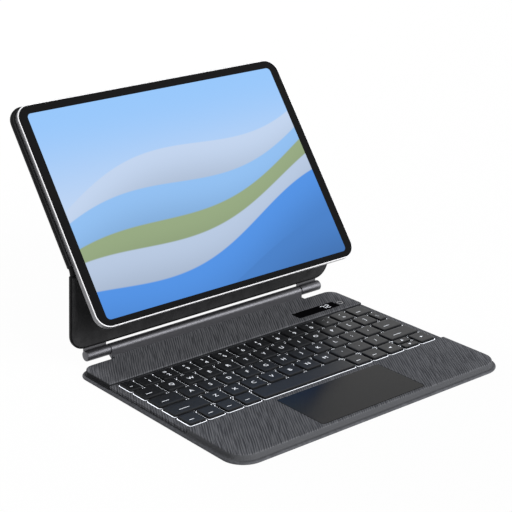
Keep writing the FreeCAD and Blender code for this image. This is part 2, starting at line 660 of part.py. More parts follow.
def hinge_barrel():
    """Barrel along the rear edge, on a skirt whose flat sides run into it."""
    brow = (PAD_REAR, PAD_TOP + SKIRT_STEP)
    heel = (DECK_REAR - SKIRT_HEEL, COVER_THICKNESS)
    profile = [(PAD_REAR, COVER_THICKNESS), brow, tangent_point(*brow, 1), (AXIS_Y, AXIS_Z),
               tangent_point(*heel, -1), heel]
    start = -BARREL_LENGTH / 2
    corners = [point(start, y, z) for y, z in profile]
    skirt = Part.Face(polygon(corners)).extrude(point(BARREL_LENGTH, 0, 0))
    body = skirt.fuse(rod(start, -start, BARREL_RADIUS)).removeSplitter()
    room = rod(-start - PIN_IN_BARREL - BORE_SPARE, -start, PIN_RADIUS + PIN_RUNNING_CLEARANCE + SLEEVE_WALL)
    return body.cut([room, mirrored(room)])


def friction_sleeves():
    bore = PIN_RADIUS + PIN_RUNNING_CLEARANCE
    ring = sleeve(bore + SLEEVE_WALL).cut(sleeve(bore))
    return Part.makeCompound([mirrored(ring), ring])


def base():
    cells = [battery_cell(side, 0, POCKET_FLOOR + CELL_THICKNESS) for side in (-1, 1)]
    domes = [key_dome(*cell) for _, cell in key_cells()]
    return {
        "bottom_cover": bottom_cover(),
        "keyboard_frame": keyboard_frame(),
        "palm_pad": palm_pad(),
        "rear_pad": rear_pad(),
        "key_deck": key_deck(),
        "backlight_guide": switch_layer(0, COVER_THICKNESS, SWITCH_PLATE_FOOT),
        "switch_plate": switch_layer(0, SWITCH_PLATE_FOOT, MEMBRANE_FOOT),
        "switch_membrane": switch_layer(0, MEMBRANE_FOOT, MEMBRANE_TOP),
        "key_domes": Part.makeCompound(domes),
        "battery_cells": Part.makeCompound(cells),
        "control_board": control_board(),
        "trackpad_bracket": trackpad_bracket(),
        "gauge_window": window_plate(WINDOW_FOOT),
        "gauge_display": gauge_display(),
        "charge_port": charge_port(),
        "hinge_barrel": hinge_barrel(),
        "friction_sleeves": friction_sleeves(),
    }


def pressed_pieces():
    """Trackpad and power button."""
    button = Part.makeCylinder(BUTTON_RADIUS, BUTTON_HEIGHT, point(BUTTON_X, BUTTON_Y, BUTTON_FOOT), Z_AXIS)
    return {
        "trackpad_glass": trackpad_plate(0, TRACKPAD_GLASS_FOOT, TRACKPAD_TOP, TRACKPAD_CORNER),
        "trackpad_board": trackpad_plate(TRACKPAD_BOARD_INSET, TRACKPAD_FOOT, TRACKPAD_GLASS_FOOT, 0),
        "power_button": button,
    }


os.makedirs("parts", exist_ok=True)
for pieces in (base(), keys(), pressed_pieces(), stand(), panel(), tablet()):
    for node, shape in pieces.items():
        shape.exportStep(f"parts/{node}.step")
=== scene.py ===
"""Tablet keyboard case: dressed surfaces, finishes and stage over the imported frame."""

import json
import math

import bmesh
import bpy
import numpy as np
from mathutils import Matrix, Vector
from mathutils.geometry import tessellate_polygon


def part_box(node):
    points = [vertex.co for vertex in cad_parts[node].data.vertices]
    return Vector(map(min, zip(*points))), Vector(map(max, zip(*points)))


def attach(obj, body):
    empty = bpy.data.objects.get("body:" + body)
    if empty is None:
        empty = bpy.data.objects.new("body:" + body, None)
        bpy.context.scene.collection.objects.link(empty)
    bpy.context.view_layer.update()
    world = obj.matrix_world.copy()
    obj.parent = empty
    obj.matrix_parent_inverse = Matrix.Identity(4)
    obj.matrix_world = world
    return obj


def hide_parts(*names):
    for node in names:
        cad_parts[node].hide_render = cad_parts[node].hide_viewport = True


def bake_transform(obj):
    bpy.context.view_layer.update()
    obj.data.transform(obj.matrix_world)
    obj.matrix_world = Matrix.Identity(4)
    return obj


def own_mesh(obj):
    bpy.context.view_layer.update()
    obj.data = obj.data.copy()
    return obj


bl_info = {
    "name": "Tablet keyboard case",
    "version": (1, 0, 0),
    "blender": (4, 5, 0),
    "location": "View3D > Sidebar > Case",
    "description": "Dresses the packed keyboard case with its leather, keys, hinge, covers and tablet",
    "category": "Object",
}

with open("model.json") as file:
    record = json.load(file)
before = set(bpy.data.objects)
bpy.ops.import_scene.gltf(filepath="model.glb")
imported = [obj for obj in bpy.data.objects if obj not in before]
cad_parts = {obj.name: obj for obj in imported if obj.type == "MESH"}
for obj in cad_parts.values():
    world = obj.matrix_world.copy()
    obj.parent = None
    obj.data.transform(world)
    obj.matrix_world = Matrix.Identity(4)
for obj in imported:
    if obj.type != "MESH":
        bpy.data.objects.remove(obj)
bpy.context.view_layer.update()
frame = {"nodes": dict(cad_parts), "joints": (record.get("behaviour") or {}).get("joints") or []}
MM = 0.001

# Shared by many pieces: the flat beside a rounded edge, the points on such an edge, on a corner and on a wide
# corner, how far print lies over its ground, how near to each other two points are welded, the angle from
# which an edge shows, and a capital's height in the font.
EDGE_FLAT = 0.4 * MM
ROUND_STEPS = 5
CORNER_STEPS = 9
WIDE_STEPS = 17
PRINT_RISE = 0.03 * MM
WELD_REACH = 0.002 * MM
CREASE = math.radians(35)
CAPITAL = 0.7

CAMERA_PLACE = np.array((-663.6, -791.7, 464.3)) * MM
SENSOR_WIDTH = 36.0
FLOOR_HALF = 6.0
FLOOR_GREY = (0.86, 0.86, 0.86, 1.0)
FLOOR_SHOWN = 0.97
WHITE = (1.0, 1.0, 1.0, 1.0)
# Each lamp's name, place, side in metres, and power as a share of the front lamp's.
LAMPS = (
    ("front lamp", Vector((0.7, -4.95, 2.7)), 3.6, 1.0),
    ("side lamp", Vector((1.7, -2.1, 1.0)), 1.3, 0.13),
    ("back lamp", Vector((0.0, 3.0, 0.7)), 1.5, 0.4),
)
GLEAM = "lit by the side lamp"

JOINTS = {joint["name"]: joint for joint in frame["joints"]}
HINGE = np.array(JOINTS["case_fold"]["pos_m"])
FOLD = np.array(JOINTS["back_fold"]["pos_m"])
LIFT_AXIS = JOINTS["tablet_lift"]["axis"]
STAND_TURN = math.radians(-JOINTS["case_fold"]["range_deg"][0])
PANEL_TURN = math.atan2(-LIFT_AXIS[1], -LIFT_AXIS[2])

# Key nodes from the rear row to the front row, each with the number of caps in it and what they carry.
KEY_NODES = (
    ("escape_key", 1, "|"), ("number_keys", 12, "1234567890-="), ("delete_key", 1, "|"),
    ("tab_key", 1, "|"), ("upper_letter_keys", 12, "QWERTYUIOP[]"), ("backslash_key", 1, "\\"),
    ("caps_key", 1, "|"), ("home_letter_keys", 11, "ASDFGHJKL;'"), ("return_key", 1, "|"),
    ("left_shift_key", 1, "|"), ("lower_letter_keys", 10, "ZXCVBNM,./"), ("right_shift_key", 1, "|"),
    ("function_key", 1, "|"), ("control_key", 1, "|"), ("option_key", 1, "|"), ("command_key", 1, "|"),
    ("space_bar", 1, ""), ("right_command_key", 1, "|"), ("right_option_key", 1, "|"),
    ("left_arrow_key", 1, "<"), ("up_arrow_key", 1, "^"), ("down_arrow_key", 1, "v"),
    ("right_arrow_key", 1, ">"),
)
NUMBER_SIGNS = dict(zip("1234567890-=", "!@#$%^&*()_+"))
MARK_TURNS = {">": 0, "^": 90, "<": 180, "v": 270}


def srgb(red, green, blue):
    """Colour as a screen shows it, from 0 to 255, turned into the linear values that nodes take."""
    value = np.array((red, green, blue)) / 255.0
    return tuple(np.where(value <= 0.04045, value / 12.92, ((value + 0.055) / 1.055) ** 2.4))


def length(name, description, millimetres):
    """Setting for a length."""
    return bpy.props.FloatProperty(
        name=name, description=description, default=millimetres * MM, unit="LENGTH", precision=5)


def colour(name, description, *shown):
    """Setting for a colour, given as a screen shows it."""
    return bpy.props.FloatVectorProperty(
        name=name, description=description, default=srgb(*shown), size=3, min=0.0, max=1.0, subtype="COLOR")


def amount(name, description, value):
    """Setting for a strength, a power or a share."""
    return bpy.props.FloatProperty(name=name, description=description, default=value, min=0.0)


def angle(name, description, degrees):
    """Setting for an angle."""
    return bpy.props.FloatProperty(
        name=name, description=description, default=math.radians(degrees), subtype="ANGLE")


class DeckSettings(bpy.types.PropertyGroup):
    """Sizes and colours of the hem and the pads"""

    front_corner: length("Front corner", "Corner radius of the hem at the front", 18.0)
    rear_corner: length("Rear corner", "Corner radius of the hem at the rear", 12.0)
    edge_round: length("Edge round", "Radius of the pads' top edges", 1.0)
    foot_round: length("Foot round", "Radius where the pads run out into the hem", 1.2)
    step_round: length("Step round", "Radius of the pads' corners at the key trough", 1.2)
    opening_gap: length("Opening gap", "Clearance round the trackpad, the gauge and the button", 0.3)
    trackpad_corner: length("Trackpad corner", "Corner radius of the opening round the trackpad", 2.3)
    gauge_corner: length("Gauge corner", "Corner radius of the opening round the gauge", 0.6)
    streak_turn: angle("Streak turn", "Angle of the leather's streaks from the deck's depth", 30.0)
    leather: colour("Leather", "Light streaks of the deck's leather", 110, 111, 115)
    leather_dark: colour("Leather dark", "Dark streaks of the deck's leather", 65, 66, 70)
    wall: colour("Wall", "Walls of the palm pad", 84, 85, 88)
    # Painted shade: the rear pad's walls under its top are darkened to this colour.
    cut: colour("Cut", "Painted walls of the rear pad", 39, 40, 42)
    hem: colour("Hem", "Smooth hem round the deck", 84, 85, 89)


class KeySettings(bpy.types.PropertyGroup):
    """Sizes, colours and light of the caps"""

    gap: length("Gap", "Space between two caps of a row", 2.0)
    corner: length("Corner", "Corner radius of a cap", 1.5)
    draft: length("Draft", "How far a cap's side leans in", 0.25)
    edge_round: length("Edge round", "Radius of a cap's top edge", 0.5)
    crown: length("Crown", "Thickness of a cap's top over its hollow", 0.9)
    wall: length("Wall", "Thickness of a cap's side round its hollow", 1.0)
    dish: length("Dish", "Depth of the hollow in a cap's top", 0.08)
    dome_radius: length("Dome radius", "Radius of the rubber dome under a wide enough cap", 2.6)
    letter_height: length("Letter height", "Height of a capital on a cap", 3.7)
    sign_height: length("Sign height", "Height of the small signs over the numbers", 2.2)
    mark_length: length("Mark length", "Length of the triangles on the arrow caps", 3.0)
    bar_share: amount("Bar share", "Length of a plain bar as a share of its cap's width", 0.27)
    glow_width: length("Glow width", "Width of the lit rim at a cap's corners and the block's edges", 0.65)
    glow_side: length("Glow side", "Width of the lit rim between two caps", 0.14)
    plastic: colour("Plastic", "Colour of the caps", 29, 30, 32)
    light: colour("Light", "Colour of the backlight", 244, 248, 255)
    glow: amount("Glow", "Strength of the lit rims", 1.5)
    print_glow: amount("Print glow", "Strength of the lit lettering", 0.65)


class HingeSettings(bpy.types.PropertyGroup):
    """Edges and colours of the barrel and the knuckles"""

    end_round: length("End round", "Radius at the outer ends of the knuckles", 1.3)
    joint_round: length("Joint round", "Radius at the ends that face each other", 0.35)
    metal: colour("Metal", "Colour of the barrel and the knuckles", 99, 99, 103)
    web: colour("Web", "Colour of the flat webs over the knuckles", 96, 96, 99)


class CoverSettings(bpy.types.PropertyGroup):
    """Sizes and colours of the stand and the panel"""

    stand_corner: length("Stand corner", "Radius of the stand's lower corners", 13.0)
    panel_corner: length("Panel corner", "Radius of the panel's upper corners", 12.0)
    fold_corner: length("Fold corner", "Radius of both boards' corners at the fold", 0.9)
    edge_round: length("Edge round", "Radius of the outer edge", 0.9)
    lining_round: length("Lining round", "Radius of the lining's edge", 0.3)
    border: length("Border", "Width of the outer skin's border round the lining", 1.4)
    window_corner: length("Window corner", "Corner radius of the camera window", 12.0)
    strip_thickness: length("Strip thickness", "Thickness of the fold's skin", 1.5)
    skin: colour("Skin", "Outer skin of the covers", 23, 23, 24)
    lining: colour("Lining", "Lining on the inner faces", 52, 52, 53)


class TabletSettings(bpy.types.PropertyGroup):
    """Sizes and colours of the tablet and its picture"""

    corner: length("Corner", "Corner radius of the housing", 11.5)
    rim: length("Rim", "Width of the bright rim round the glass", 0.8)
    side_border: length("Side border", "Black border from the housing's side edges to the picture", 8.3)
    top_border: length("Top border", "Black border from the housing's upper edge to the picture", 7.3)
    foot_border: length("Foot border", "Black border from the housing's lower edge to the picture", 5.6)
    picture_corner: length("Picture corner", "Corner radius of the picture", 3.5)
    front_round: length("Front round", "Radius of the housing's front edge", 0.35)
    back_round: length("Back round", "Radius of the housing's back edge", 1.6)
    flat: length("Flat", "Width of the flat beside the housing's round edges", 0.5)
    metal: colour("Metal", "Colour of the housing", 124, 124, 127)
    # Near-white colour of the polished rim: a painted highlight, far lighter than the housing's metal.
    rim_highlight: colour("Polish", "Colour of the bright rim", 240, 240, 242)
    sky: colour("Sky", "Top of the screen's picture", 150, 198, 250)
    haze: colour("Haze", "Pale band of the picture", 196, 214, 240)
    meadow: colour("Meadow", "Green band of the picture", 140, 158, 120)
    deep: colour("Deep", "Foot of the picture", 74, 136, 214)
    brightness: amount("Brightness", "Strength of the lit picture", 1.0)


class StageSettings(bpy.types.PropertyGroup):
    """Camera and lights"""

    turn: angle("Turn", "Camera's angle round the object from its front", -38.57)
    height: angle("Height", "Camera's angle above the horizon", 19.83)
    roll: angle("Roll", "Camera's turn about its own line of sight", -0.72)
    lens: amount("Lens", "Focal length in millimetres", 106.7)
    lamp: amount("Lamp", "Power of the large front lamp in watts", 395.0)
    ambient: amount("Ambient", "Strength of the light from all round", 0.15)


# Surfaces

def mesh_points(mesh):
    """A mesh's points, one row for each."""
    points = np.empty(len(mesh.vertices) * 3)
    mesh.vertices.foreach_get("co", points)
    return points.reshape(-1, 3)


def node_points(node):
    """A CAD node's points at rest."""
    return mesh_points(frame["nodes"][node].data)


def node_box(node):
    """Lowest and highest corner of a CAD node at rest."""
    low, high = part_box(node)
    return np.array(low), np.array(high)


class Shape:
    """Points and faces of a piece, gathered part by part."""

    def __init__(self):
        self.points = []
        self.faces = []
        self.count = 0

    def add(self, points, *face_sets):
        """Takes an array of points and arrays of faces that number those points from 0."""
        points = np.reshape(points, (-1, 3))
        for faces in face_sets:
            self.faces += (np.asarray(faces) + self.count).tolist()
        self.points.append(points)
        self.count += len(points)

    def moved(self, place):
        """The same shape with its points carried by a function of their array."""
        copy = Shape()
        copy.faces = self.faces
        copy.points = [place(np.concatenate(self.points))]
        copy.count = self.count
        return copy


def rounded_outline(low, high, radii, steps=CORNER_STEPS):
    """Rectangle with round corners, walked anticlockwise from the front right: each corner is a quarter
    circle about its own centre. Gives the centres, the sides they lie on, the directions and the radii."""
    corner = np.arange(4).repeat(steps)
    turn = (np.tile(np.linspace(0, 1, steps), 4) + corner - 1) * np.pi / 2
    way = np.stack([np.cos(turn), np.sin(turn)], 1)
    side = np.array([(1, -1), (1, 1), (-1, 1), (-1, -1)])[corner]
    radius = np.broadcast_to(radii, 4)[corner]
    low, high = np.array(low[:2]), np.array(high[:2])
    middle = (low + high) / 2 + side * ((high - low) / 2 - radius[:, None])
    return middle, side, way, radius


def round_hole(middle, radius):
    """Circle: a square whose round corners meet."""
    middle = np.array(middle[:2])
    return rounded_outline(middle - radius, middle + radius, radius)


def level_square(half, middle):
    """Corners of a level rectangle about its middle, from half its sides."""
    corner = np.array([(-1, -1), (1, -1), (1, 1), (-1, 1)])
    return np.column_stack([corner * half, np.zeros(4)]) + middle


def rings(outline, profile):
    """Profile carried round an outline: a row of it is an inset, by which the outline moves inwards, and the
    height where that ring lies. Past its radius a corner goes on inwards as a sharp one."""
    inset, height = np.asarray(profile, float).T
    middle, side, way, radius = outline
    reach = radius[None, :, None] - inset[:, None, None]
    flat = middle + side * np.minimum(reach, 0) + way * np.maximum(reach, 0)
    up = np.broadcast_to(height[:, None, None], flat.shape[:2] + (1,))
    return np.concatenate([flat, up], 2)


def strip_faces(rows, columns):
    """Quads between the rings of a grid, whose columns go round."""
    along = np.arange(columns)
    start = np.arange(rows - 1)[:, None] * columns
    here, there = start + along, start + (along + 1) % columns
    return np.stack([here, there, there + columns, here + columns], 2).reshape(-1, 4)


def flat_fill(loops, upward):
    """Triangles that fill the first loop and leave the other loops out, wound to face up or down."""
    triangles = np.array(tessellate_polygon([loop.tolist() for loop in loops]))
    points = np.concatenate(loops)[triangles]
    first, second = points[:, 1] - points[:, 0], points[:, 2] - points[:, 0]
    wrong = (first[:, 0] * second[:, 1] - first[:, 1] * second[:, 0] > 0) != upward
    triangles[wrong] = triangles[wrong][:, ::-1]
    return triangles


def quarter(inset, height, radius, rising):
    """Quarter circle of a profile that ends a wall: from the wall's line to the flat, or back if it isn't
    rising."""
    turn = np.linspace(0, np.pi / 2, ROUND_STEPS)
    lift = radius * np.sin(turn) if rising else radius * (1 - np.sin(turn))
    curve = np.stack([inset + radius * (1 - np.cos(turn)), height + lift], 1)
    return curve if rising else curve[::-1]


def plate_profile(low, high, low_round, high_round, flat=EDGE_FLAT):
    """Profile of a plate's edge from its underside up: a flat, a round, the wall, a round and a flat."""
    under = quarter(0, low, low_round, False)
    over = quarter(0, high - high_round, high_round, True)
    start, end = [(low_round + flat, low)], [(high_round + flat, high)]
    return np.concatenate([start, under, over, end])


def plate(shape, outline, profile, holes=(), hole_profile=(), wells=False):
    """Closed plate: the profile carried round its outline, the hole profile round each hole from the top
    down, and flat faces above and below that leave the holes out. Wells are holes with a floor, and the
    face below goes on under them."""
    wall = rings(outline, profile)
    hole_walls = [rings(hole, hole_profile) for hole in holes]
    for grid in [wall] + hole_walls:
        shape.add(grid, strip_faces(*grid.shape[:2]))
    top = [wall[-1]] + [grid[0] for grid in hole_walls]
    shape.add(np.concatenate(top), flat_fill(top, True))
    ends = [grid[-1] for grid in hole_walls]
    foot = [wall[0]] if wells else [wall[0]] + ends
    shape.add(np.concatenate(foot), flat_fill(foot, False))
    if wells:
        for floor in ends:
            shape.add(floor, flat_fill([floor], True))
    return shape


def slab(low, high, corners, low_round, high_round, steps=CORNER_STEPS):
    """Plate that fills a box, with round corners and with its edges rounded below and above."""
    profile = plate_profile(low[2], high[2], low_round, high_round)
    return plate(Shape(), rounded_outline(low, high, corners, steps), profile)


def tube(shape, grid):
    """Rings joined one to the next, with a flat face over the first and the last."""
    rows, columns = grid.shape[:2]
    ring = np.arange(columns)
    shape.add(grid, strip_faces(rows, columns), [ring[::-1]], [ring + (rows - 1) * columns])
    return shape


def turned_body(shape, profile, middle, along, steps=48):
    """Body of revolution: a profile of places along an axis and radii about it, carried round that axis,
    which is x or z. Its two ends are flat."""
    place, radius = np.asarray(profile, float).T
    turn = np.linspace(0, 2 * np.pi, steps, endpoint=False)
    across, up = radius[:, None] * np.cos(turn), radius[:, None] * np.sin(turn)
    level = np.broadcast_to(place[:, None], across.shape)
    grid = np.stack([level, across, up] if along == "x" else [across, up, level], 2) + middle
    return tube(shape, grid)


def placed(name, data):
    """New object in the scene."""
    made = bpy.data.objects.new(name, data)
    bpy.context.scene.collection.objects.link(made)
    return made


def make_piece(name, shape, material, body, slot, *stands_for):
    """Puts a shape into a mesh object at the origin, welds its rings, and lets it ride on a body. A piece
    that bends between two bodies rides on none. The nodes that the piece stands for come last."""
    mesh = bpy.data.meshes.new(name)
    mesh.from_pydata(np.concatenate(shape.points).tolist(), [], shape.faces)
    mesh.materials.append(material)
    made = placed(name, mesh)
    weld(mesh)
    mesh.shade_smooth()
    mesh.set_sharp_from_angle(angle=CREASE)
    if body:
        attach(made, body)
    if stands_for:
        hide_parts(*stands_for)
    return made


def weld(mesh):
    """Joins points that lie together, so that walls and flats share their edges."""
    work = bmesh.new()
    work.from_mesh(mesh)
    bmesh.ops.remove_doubles(work, verts=work.verts, dist=WELD_REACH)
    work.to_mesh(mesh)
    work.free()


# Finishes

def add_node(tree, kind, inputs=None, **settings):
    """New node with its settings, and with each input linked to a socket or set to a value."""
    made = tree.nodes.new(kind)
    for key, value in settings.items():
        setattr(made, key, value)
    for key, value in (inputs or {}).items():
        if isinstance(value, bpy.types.NodeSocket):
            tree.links.new(value, made.inputs[key])
        else:
            made.inputs[key].default_value = value
    return made


def mixed(tree, factor, first, second):
    """Colour between two others."""
    made = add_node(tree, "ShaderNodeMix", {0: factor, 6: first, 7: second}, data_type="RGBA")
    return made.outputs[2]


def worked(tree, operation, first, second=0.0, third=0.0):
    """One step of arithmetic on values or sockets."""
    made = add_node(tree, "ShaderNodeMath", {0: first, 1: second, 2: third}, operation=operation)
    return made.outputs[0]


def spread(tree, value, low, high, to_low=0.0, to_high=1.0, smooth=True):
    """Value stretched from one range to another and held at its ends."""
    made = add_node(tree, "ShaderNodeMapRange",
                    {0: value, 1: low, 2: high, 3: to_low, 4: to_high},
                    interpolation_type="SMOOTHSTEP" if smooth else "LINEAR")
    return made.outputs[0]


def shade(rgb, share=1.0):
    """Colour made darker or lighter by a share, with the fourth value that colour sockets take."""
    return (*(np.array(rgb) * share), 1.0)


def new_group(name, inputs, outputs):
    """Empty shader node group with named value or vector sockets, and its two end nodes."""
    tree = bpy.data.node_groups.new(name, "ShaderNodeTree")
    for title, kind, value in inputs:
        socket = tree.interface.new_socket(title, in_out="INPUT", socket_type=kind)
        if value is not None:
            socket.default_value = value
    for title in outputs:
        tree.interface.new_socket(title, in_out="OUTPUT", socket_type="NodeSocketFloat")
    return tree, tree.nodes.new("NodeGroupInput").outputs, tree.nodes.new("NodeGroupOutput").inputs


def grain_group():
    """Fine pebbles with larger, softer clouds in them: a mask for colour and a height for relief."""
    name = "fine grain"
    if name in bpy.data.node_groups:
        return bpy.data.node_groups[name]
    sockets = (("Vector", "NodeSocketVector", None), ("Size", "NodeSocketFloat", 1.0 * MM))
    tree, given, out = new_group(name, sockets, ("Mask", "Height"))
    scale = worked(tree, "DIVIDE", 1.0, given["Size"])
    broad = worked(tree, "MULTIPLY", scale, 0.12)
    cells = add_node(tree, "ShaderNodeTexVoronoi", {"Vector": given["Vector"], "Scale": scale})
    specks = add_node(tree, "ShaderNodeTexNoise", {"Vector": given["Vector"], "Scale": scale, "Detail": 3.0})
    clouds = add_node(tree, "ShaderNodeTexNoise", {"Vector": given["Vector"], "Scale": broad, "Detail": 2.0})
    specked = worked(tree, "MULTIPLY", specks.outputs[0], 0.5)
    both = worked(tree, "MULTIPLY_ADD", clouds.outputs[0], 0.5, specked)
    tree.links.new(spread(tree, both, 0.35, 0.65), out["Mask"])
    relief = worked(tree, "SUBTRACT", specks.outputs[0], worked(tree, "MULTIPLY", cells.outputs[0], 0.6))
    tree.links.new(relief, out["Height"])
    return tree


def streak_group():
    """Fine lines that run along the turned y direction: a sine across it, made uneven by a noise that is
    drawn out along the lines."""
    name = "wavy streaks"
    if name in bpy.data.node_groups:
        return bpy.data.node_groups[name]
    sockets = (("Vector", "NodeSocketVector", None), ("Turn", "NodeSocketFloat", 0.0),
               ("Spacing", "NodeSocketFloat", 1.75 * MM), ("Run", "NodeSocketFloat", 22.0 * MM))
    tree, given, out = new_group(name, sockets, ("Mask", "Height"))
    turned = add_node(tree, "ShaderNodeVectorRotate", {"Vector": given["Vector"], "Angle": given["Turn"]},
                      rotation_type="Z_AXIS")
    axes = add_node(tree, "ShaderNodeSeparateXYZ", {0: turned.outputs[0]})
    sway, full_turn = 1.4 * MM, 6.28
    bend = add_node(tree, "ShaderNodeTexNoise", {"Vector": given["Vector"], "Scale": 50.0, "Detail": 1.0})
    shift = worked(tree, "MULTIPLY", worked(tree, "SUBTRACT", bend.outputs[0], 0.5), sway)
    across = worked(tree, "DIVIDE", worked(tree, "ADD", axes.outputs[0], shift), given["Spacing"])
    along = worked(tree, "DIVIDE", axes.outputs[1], given["Run"])
    lines = add_node(tree, "ShaderNodeCombineXYZ", {0: worked(tree, "MULTIPLY", across, 3.0), 1: along})
    noise = add_node(tree, "ShaderNodeTexNoise", {"Vector": lines.outputs[0], "Scale": 1.0, "Detail": 1.0},
                     noise_dimensions="2D").outputs[0]
    phase = worked(tree, "MULTIPLY_ADD", noise, 5.0, worked(tree, "MULTIPLY", across, full_turn))
    wave = worked(tree, "SINE", phase)
    calm = worked(tree, "MULTIPLY_ADD", noise, 0.7, 0.15)
    uneven = worked(tree, "MULTIPLY_ADD", wave, 0.14, calm)
    tree.links.new(spread(tree, uneven, 0.32, 0.68), out["Mask"])
    tree.links.new(uneven, out["Height"])
    return tree


class Finish:
    """One material with a Principled shader, whose plain values are set on the shader's own sockets."""

    def __init__(self, name, **plain):
        self.material = bpy.data.materials.new(name)
        self.material.use_nodes = True
        self.tree = self.material.node_tree
        self.shader = self.tree.nodes["Principled BSDF"]
        for key, value in plain.items():
            title = key.replace("_", " ").title().replace("Ior", "IOR")
            self.shader.inputs[title].default_value = value
        self.place = add_node(self.tree, "ShaderNodeTexCoord").outputs["Object"]

    def group(self, tree, **inputs):
        """Outputs of a node group that is laid on the piece's own coordinates."""
        made = add_node(self.tree, "ShaderNodeGroup", node_tree=tree)
        self.tree.links.new(self.place, made.inputs["Vector"])
        for key, value in inputs.items():
            made.inputs[key.title()].default_value = value
        return made.outputs

    def link(self, value, title):
        """Joins a value to one of the shader's sockets."""
        self.tree.links.new(value, self.shader.inputs[title])
        return self

    def colours(self, mask, rgb, low, high):
        """Base colour that goes with a mask between two shares of one colour."""
        return self.link(mixed(self.tree, mask, shade(rgb, low), shade(rgb, high)), "Base Color")

    def gloss(self, mask, rough, sway):
        """Roughness that sways to both sides of a value with a mask."""
        low, high = rough - sway, rough + sway
        return self.link(spread(self.tree, mask, 0.0, 1.0, low, high, smooth=False), "Roughness")

    def relief(self, height, depth, strength=1.0):
        """Bump with a height's own form, as deep as given."""
        bump = add_node(self.tree, "ShaderNodeBump",
                        {"Height": height, "Distance": depth, "Strength": strength})
        return self.link(bump.outputs[0], "Normal")


def grained(name, rgb, grain, depth, rough, vary=0.25, sway=0.05, **plain):
    """Finish with fine grain of one size: the relief, to a depth, the gloss, about a roughness, and the
    colour, by a share, vary with it. It is smooth where the depth is 0."""
    finish = Finish(name, **plain)
    fine = finish.group(grain_group(), size=grain)
    finish.colours(fine["Mask"], rgb, 1 - vary, 1 + vary)
    finish.gloss(fine["Mask"], rough, sway)
    if depth:
        finish.relief(fine["Height"], depth)
    return finish.material


def smooth_black(name, rgb, rough, **plain):
    """Black glass or gloss plastic with a faint unevenness in its gloss."""
    return grained(name, rgb, grain=3.0 * MM, depth=0.0, rough=rough, vary=0.08, sway=0.02, **plain)


def streaked_leather(name, light, dark, turn, edge=None, wall=None):
    """Coated leather with printed streaks over a fine grain, and a plain colour on its walls, which is all
    that lies under the level of its edge. On the rear pad that plain colour is a painted shade that darkens
    its walls."""
    finish = Finish(name, specular_ior_level=0.04)
    fade, grain, depth = 0.8 * MM, 0.5 * MM, 0.12 * MM
    lines = finish.group(streak_group(), turn=turn)
    fine = finish.group(grain_group(), size=grain)
    seen = mixed(finish.tree, lines["Mask"], shade(dark), shade(light))
    # Under the edge's level the plain wall colour replaces the streaks: on the palm pad a plain leather tone,
    # on the rear pad a painted shade.
    if edge:
        height = add_node(finish.tree, "ShaderNodeSeparateXYZ", {0: finish.place}).outputs[2]
        above = spread(finish.tree, height, edge - fade, edge)
        seen = mixed(finish.tree, above, shade(wall), seen)
    finish.link(seen, "Base Color")
    finish.gloss(fine["Mask"], rough=0.65, sway=0.05)
    both = worked(finish.tree, "MULTIPLY_ADD", fine["Height"], 0.3, lines["Height"])
    return finish.relief(both, depth).material


def brushed_metal(name, rgb, rough, brush, metallic=1.0):
    """Metal, bare or painted, with fine scratches: noise that is stretched by a brush, which is its scale
    along each axis, sets the gloss about a roughness and a slight relief."""
    finish = Finish(name, metallic=metallic)
    stretch = add_node(finish.tree, "ShaderNodeMapping", {"Vector": finish.place, "Scale": brush})
    lines = add_node(finish.tree, "ShaderNodeTexNoise",
                     {"Vector": stretch.outputs[0], "Scale": 1.0, "Detail": 3.0}).outputs[0]
    finish.colours(lines, rgb, 0.85, 1.12)
    finish.gloss(lines, rough, sway=0.07)
    return finish.relief(lines, depth=0.01 * MM, strength=0.4).material


def lit(name, rgb, strength):
    """Glowing finish, slightly uneven as light is through a moulded part."""
    finish = Finish(name, roughness=0.6, emission_strength=strength)
    fine = finish.group(grain_group(), size=6.0 * MM)
    finish.colours(fine["Mask"], rgb, 0.8, 1.0)
    glow = mixed(finish.tree, fine["Mask"], shade(rgb, 0.85), shade(rgb))
    return finish.link(glow, "Emission Color").material


def picture(tablet):
    """Lit screen with a made-up picture of soft ribbons: a ground that pales downwards, and bands whose upper
    edges are slanting sine lines of the screen's own map, laid one before the other."""
    finish = Finish("screen picture", roughness=0.12, base_color=(0.004, 0.004, 0.005, 1.0),
                    emission_strength=tablet.brightness, specular_ior_level=0.1)
    tree = finish.tree
    spot = add_node(tree, "ShaderNodeUVMap", uv_map="screen").outputs[0]
    axes = add_node(tree, "ShaderNodeSeparateXYZ", {0: spot})
    across, up = axes.outputs[0], axes.outputs[1]
    seen = mixed(tree, spread(tree, up, 0.35, 1.0), shade(tablet.haze), shade(tablet.sky))
    # Each band's level at the left, slope, swing, start of its sine, colour, and the share of that colour.
    bands = (
        (0.50, 0.34, 0.09, 0.2, tablet.haze, 0.85), (0.40, 0.30, 0.08, 0.9, tablet.sky, 0.8),
        (0.27, 0.32, 0.07, 1.5, tablet.meadow, 1.0), (0.21, 0.27, 0.07, 2.0, tablet.haze, 0.75),
        (0.10, 0.26, 0.08, 2.7, tablet.deep, 1.0), (-0.08, 0.22, 0.07, 3.3, tablet.deep, 0.75),
    )
    for level, slope, swing, start, rgb, share in bands:
        wave = worked(tree, "SINE", worked(tree, "MULTIPLY_ADD", across, 5.0, start))
        slant = worked(tree, "MULTIPLY_ADD", across, slope, level)
        line = worked(tree, "MULTIPLY_ADD", wave, swing, slant)
        below = worked(tree, "SUBTRACT", line, up)
        light, dark = shade(rgb, 1.15 * share), shade(rgb, 0.85 * share)
        depth = mixed(tree, spread(tree, below, 0.0, 0.25), light, dark)
        seen = mixed(tree, spread(tree, below, -0.004, 0.004), seen, depth)
    return finish.link(seen, "Emission Color").material


def dress(finish, *nodes):
    """Gives a finish to CAD nodes whose own shape is right."""
    for name in nodes:
        made = frame["nodes"][name]
        made.data.materials.clear()
        made.data.materials.append(finish)


# Operators

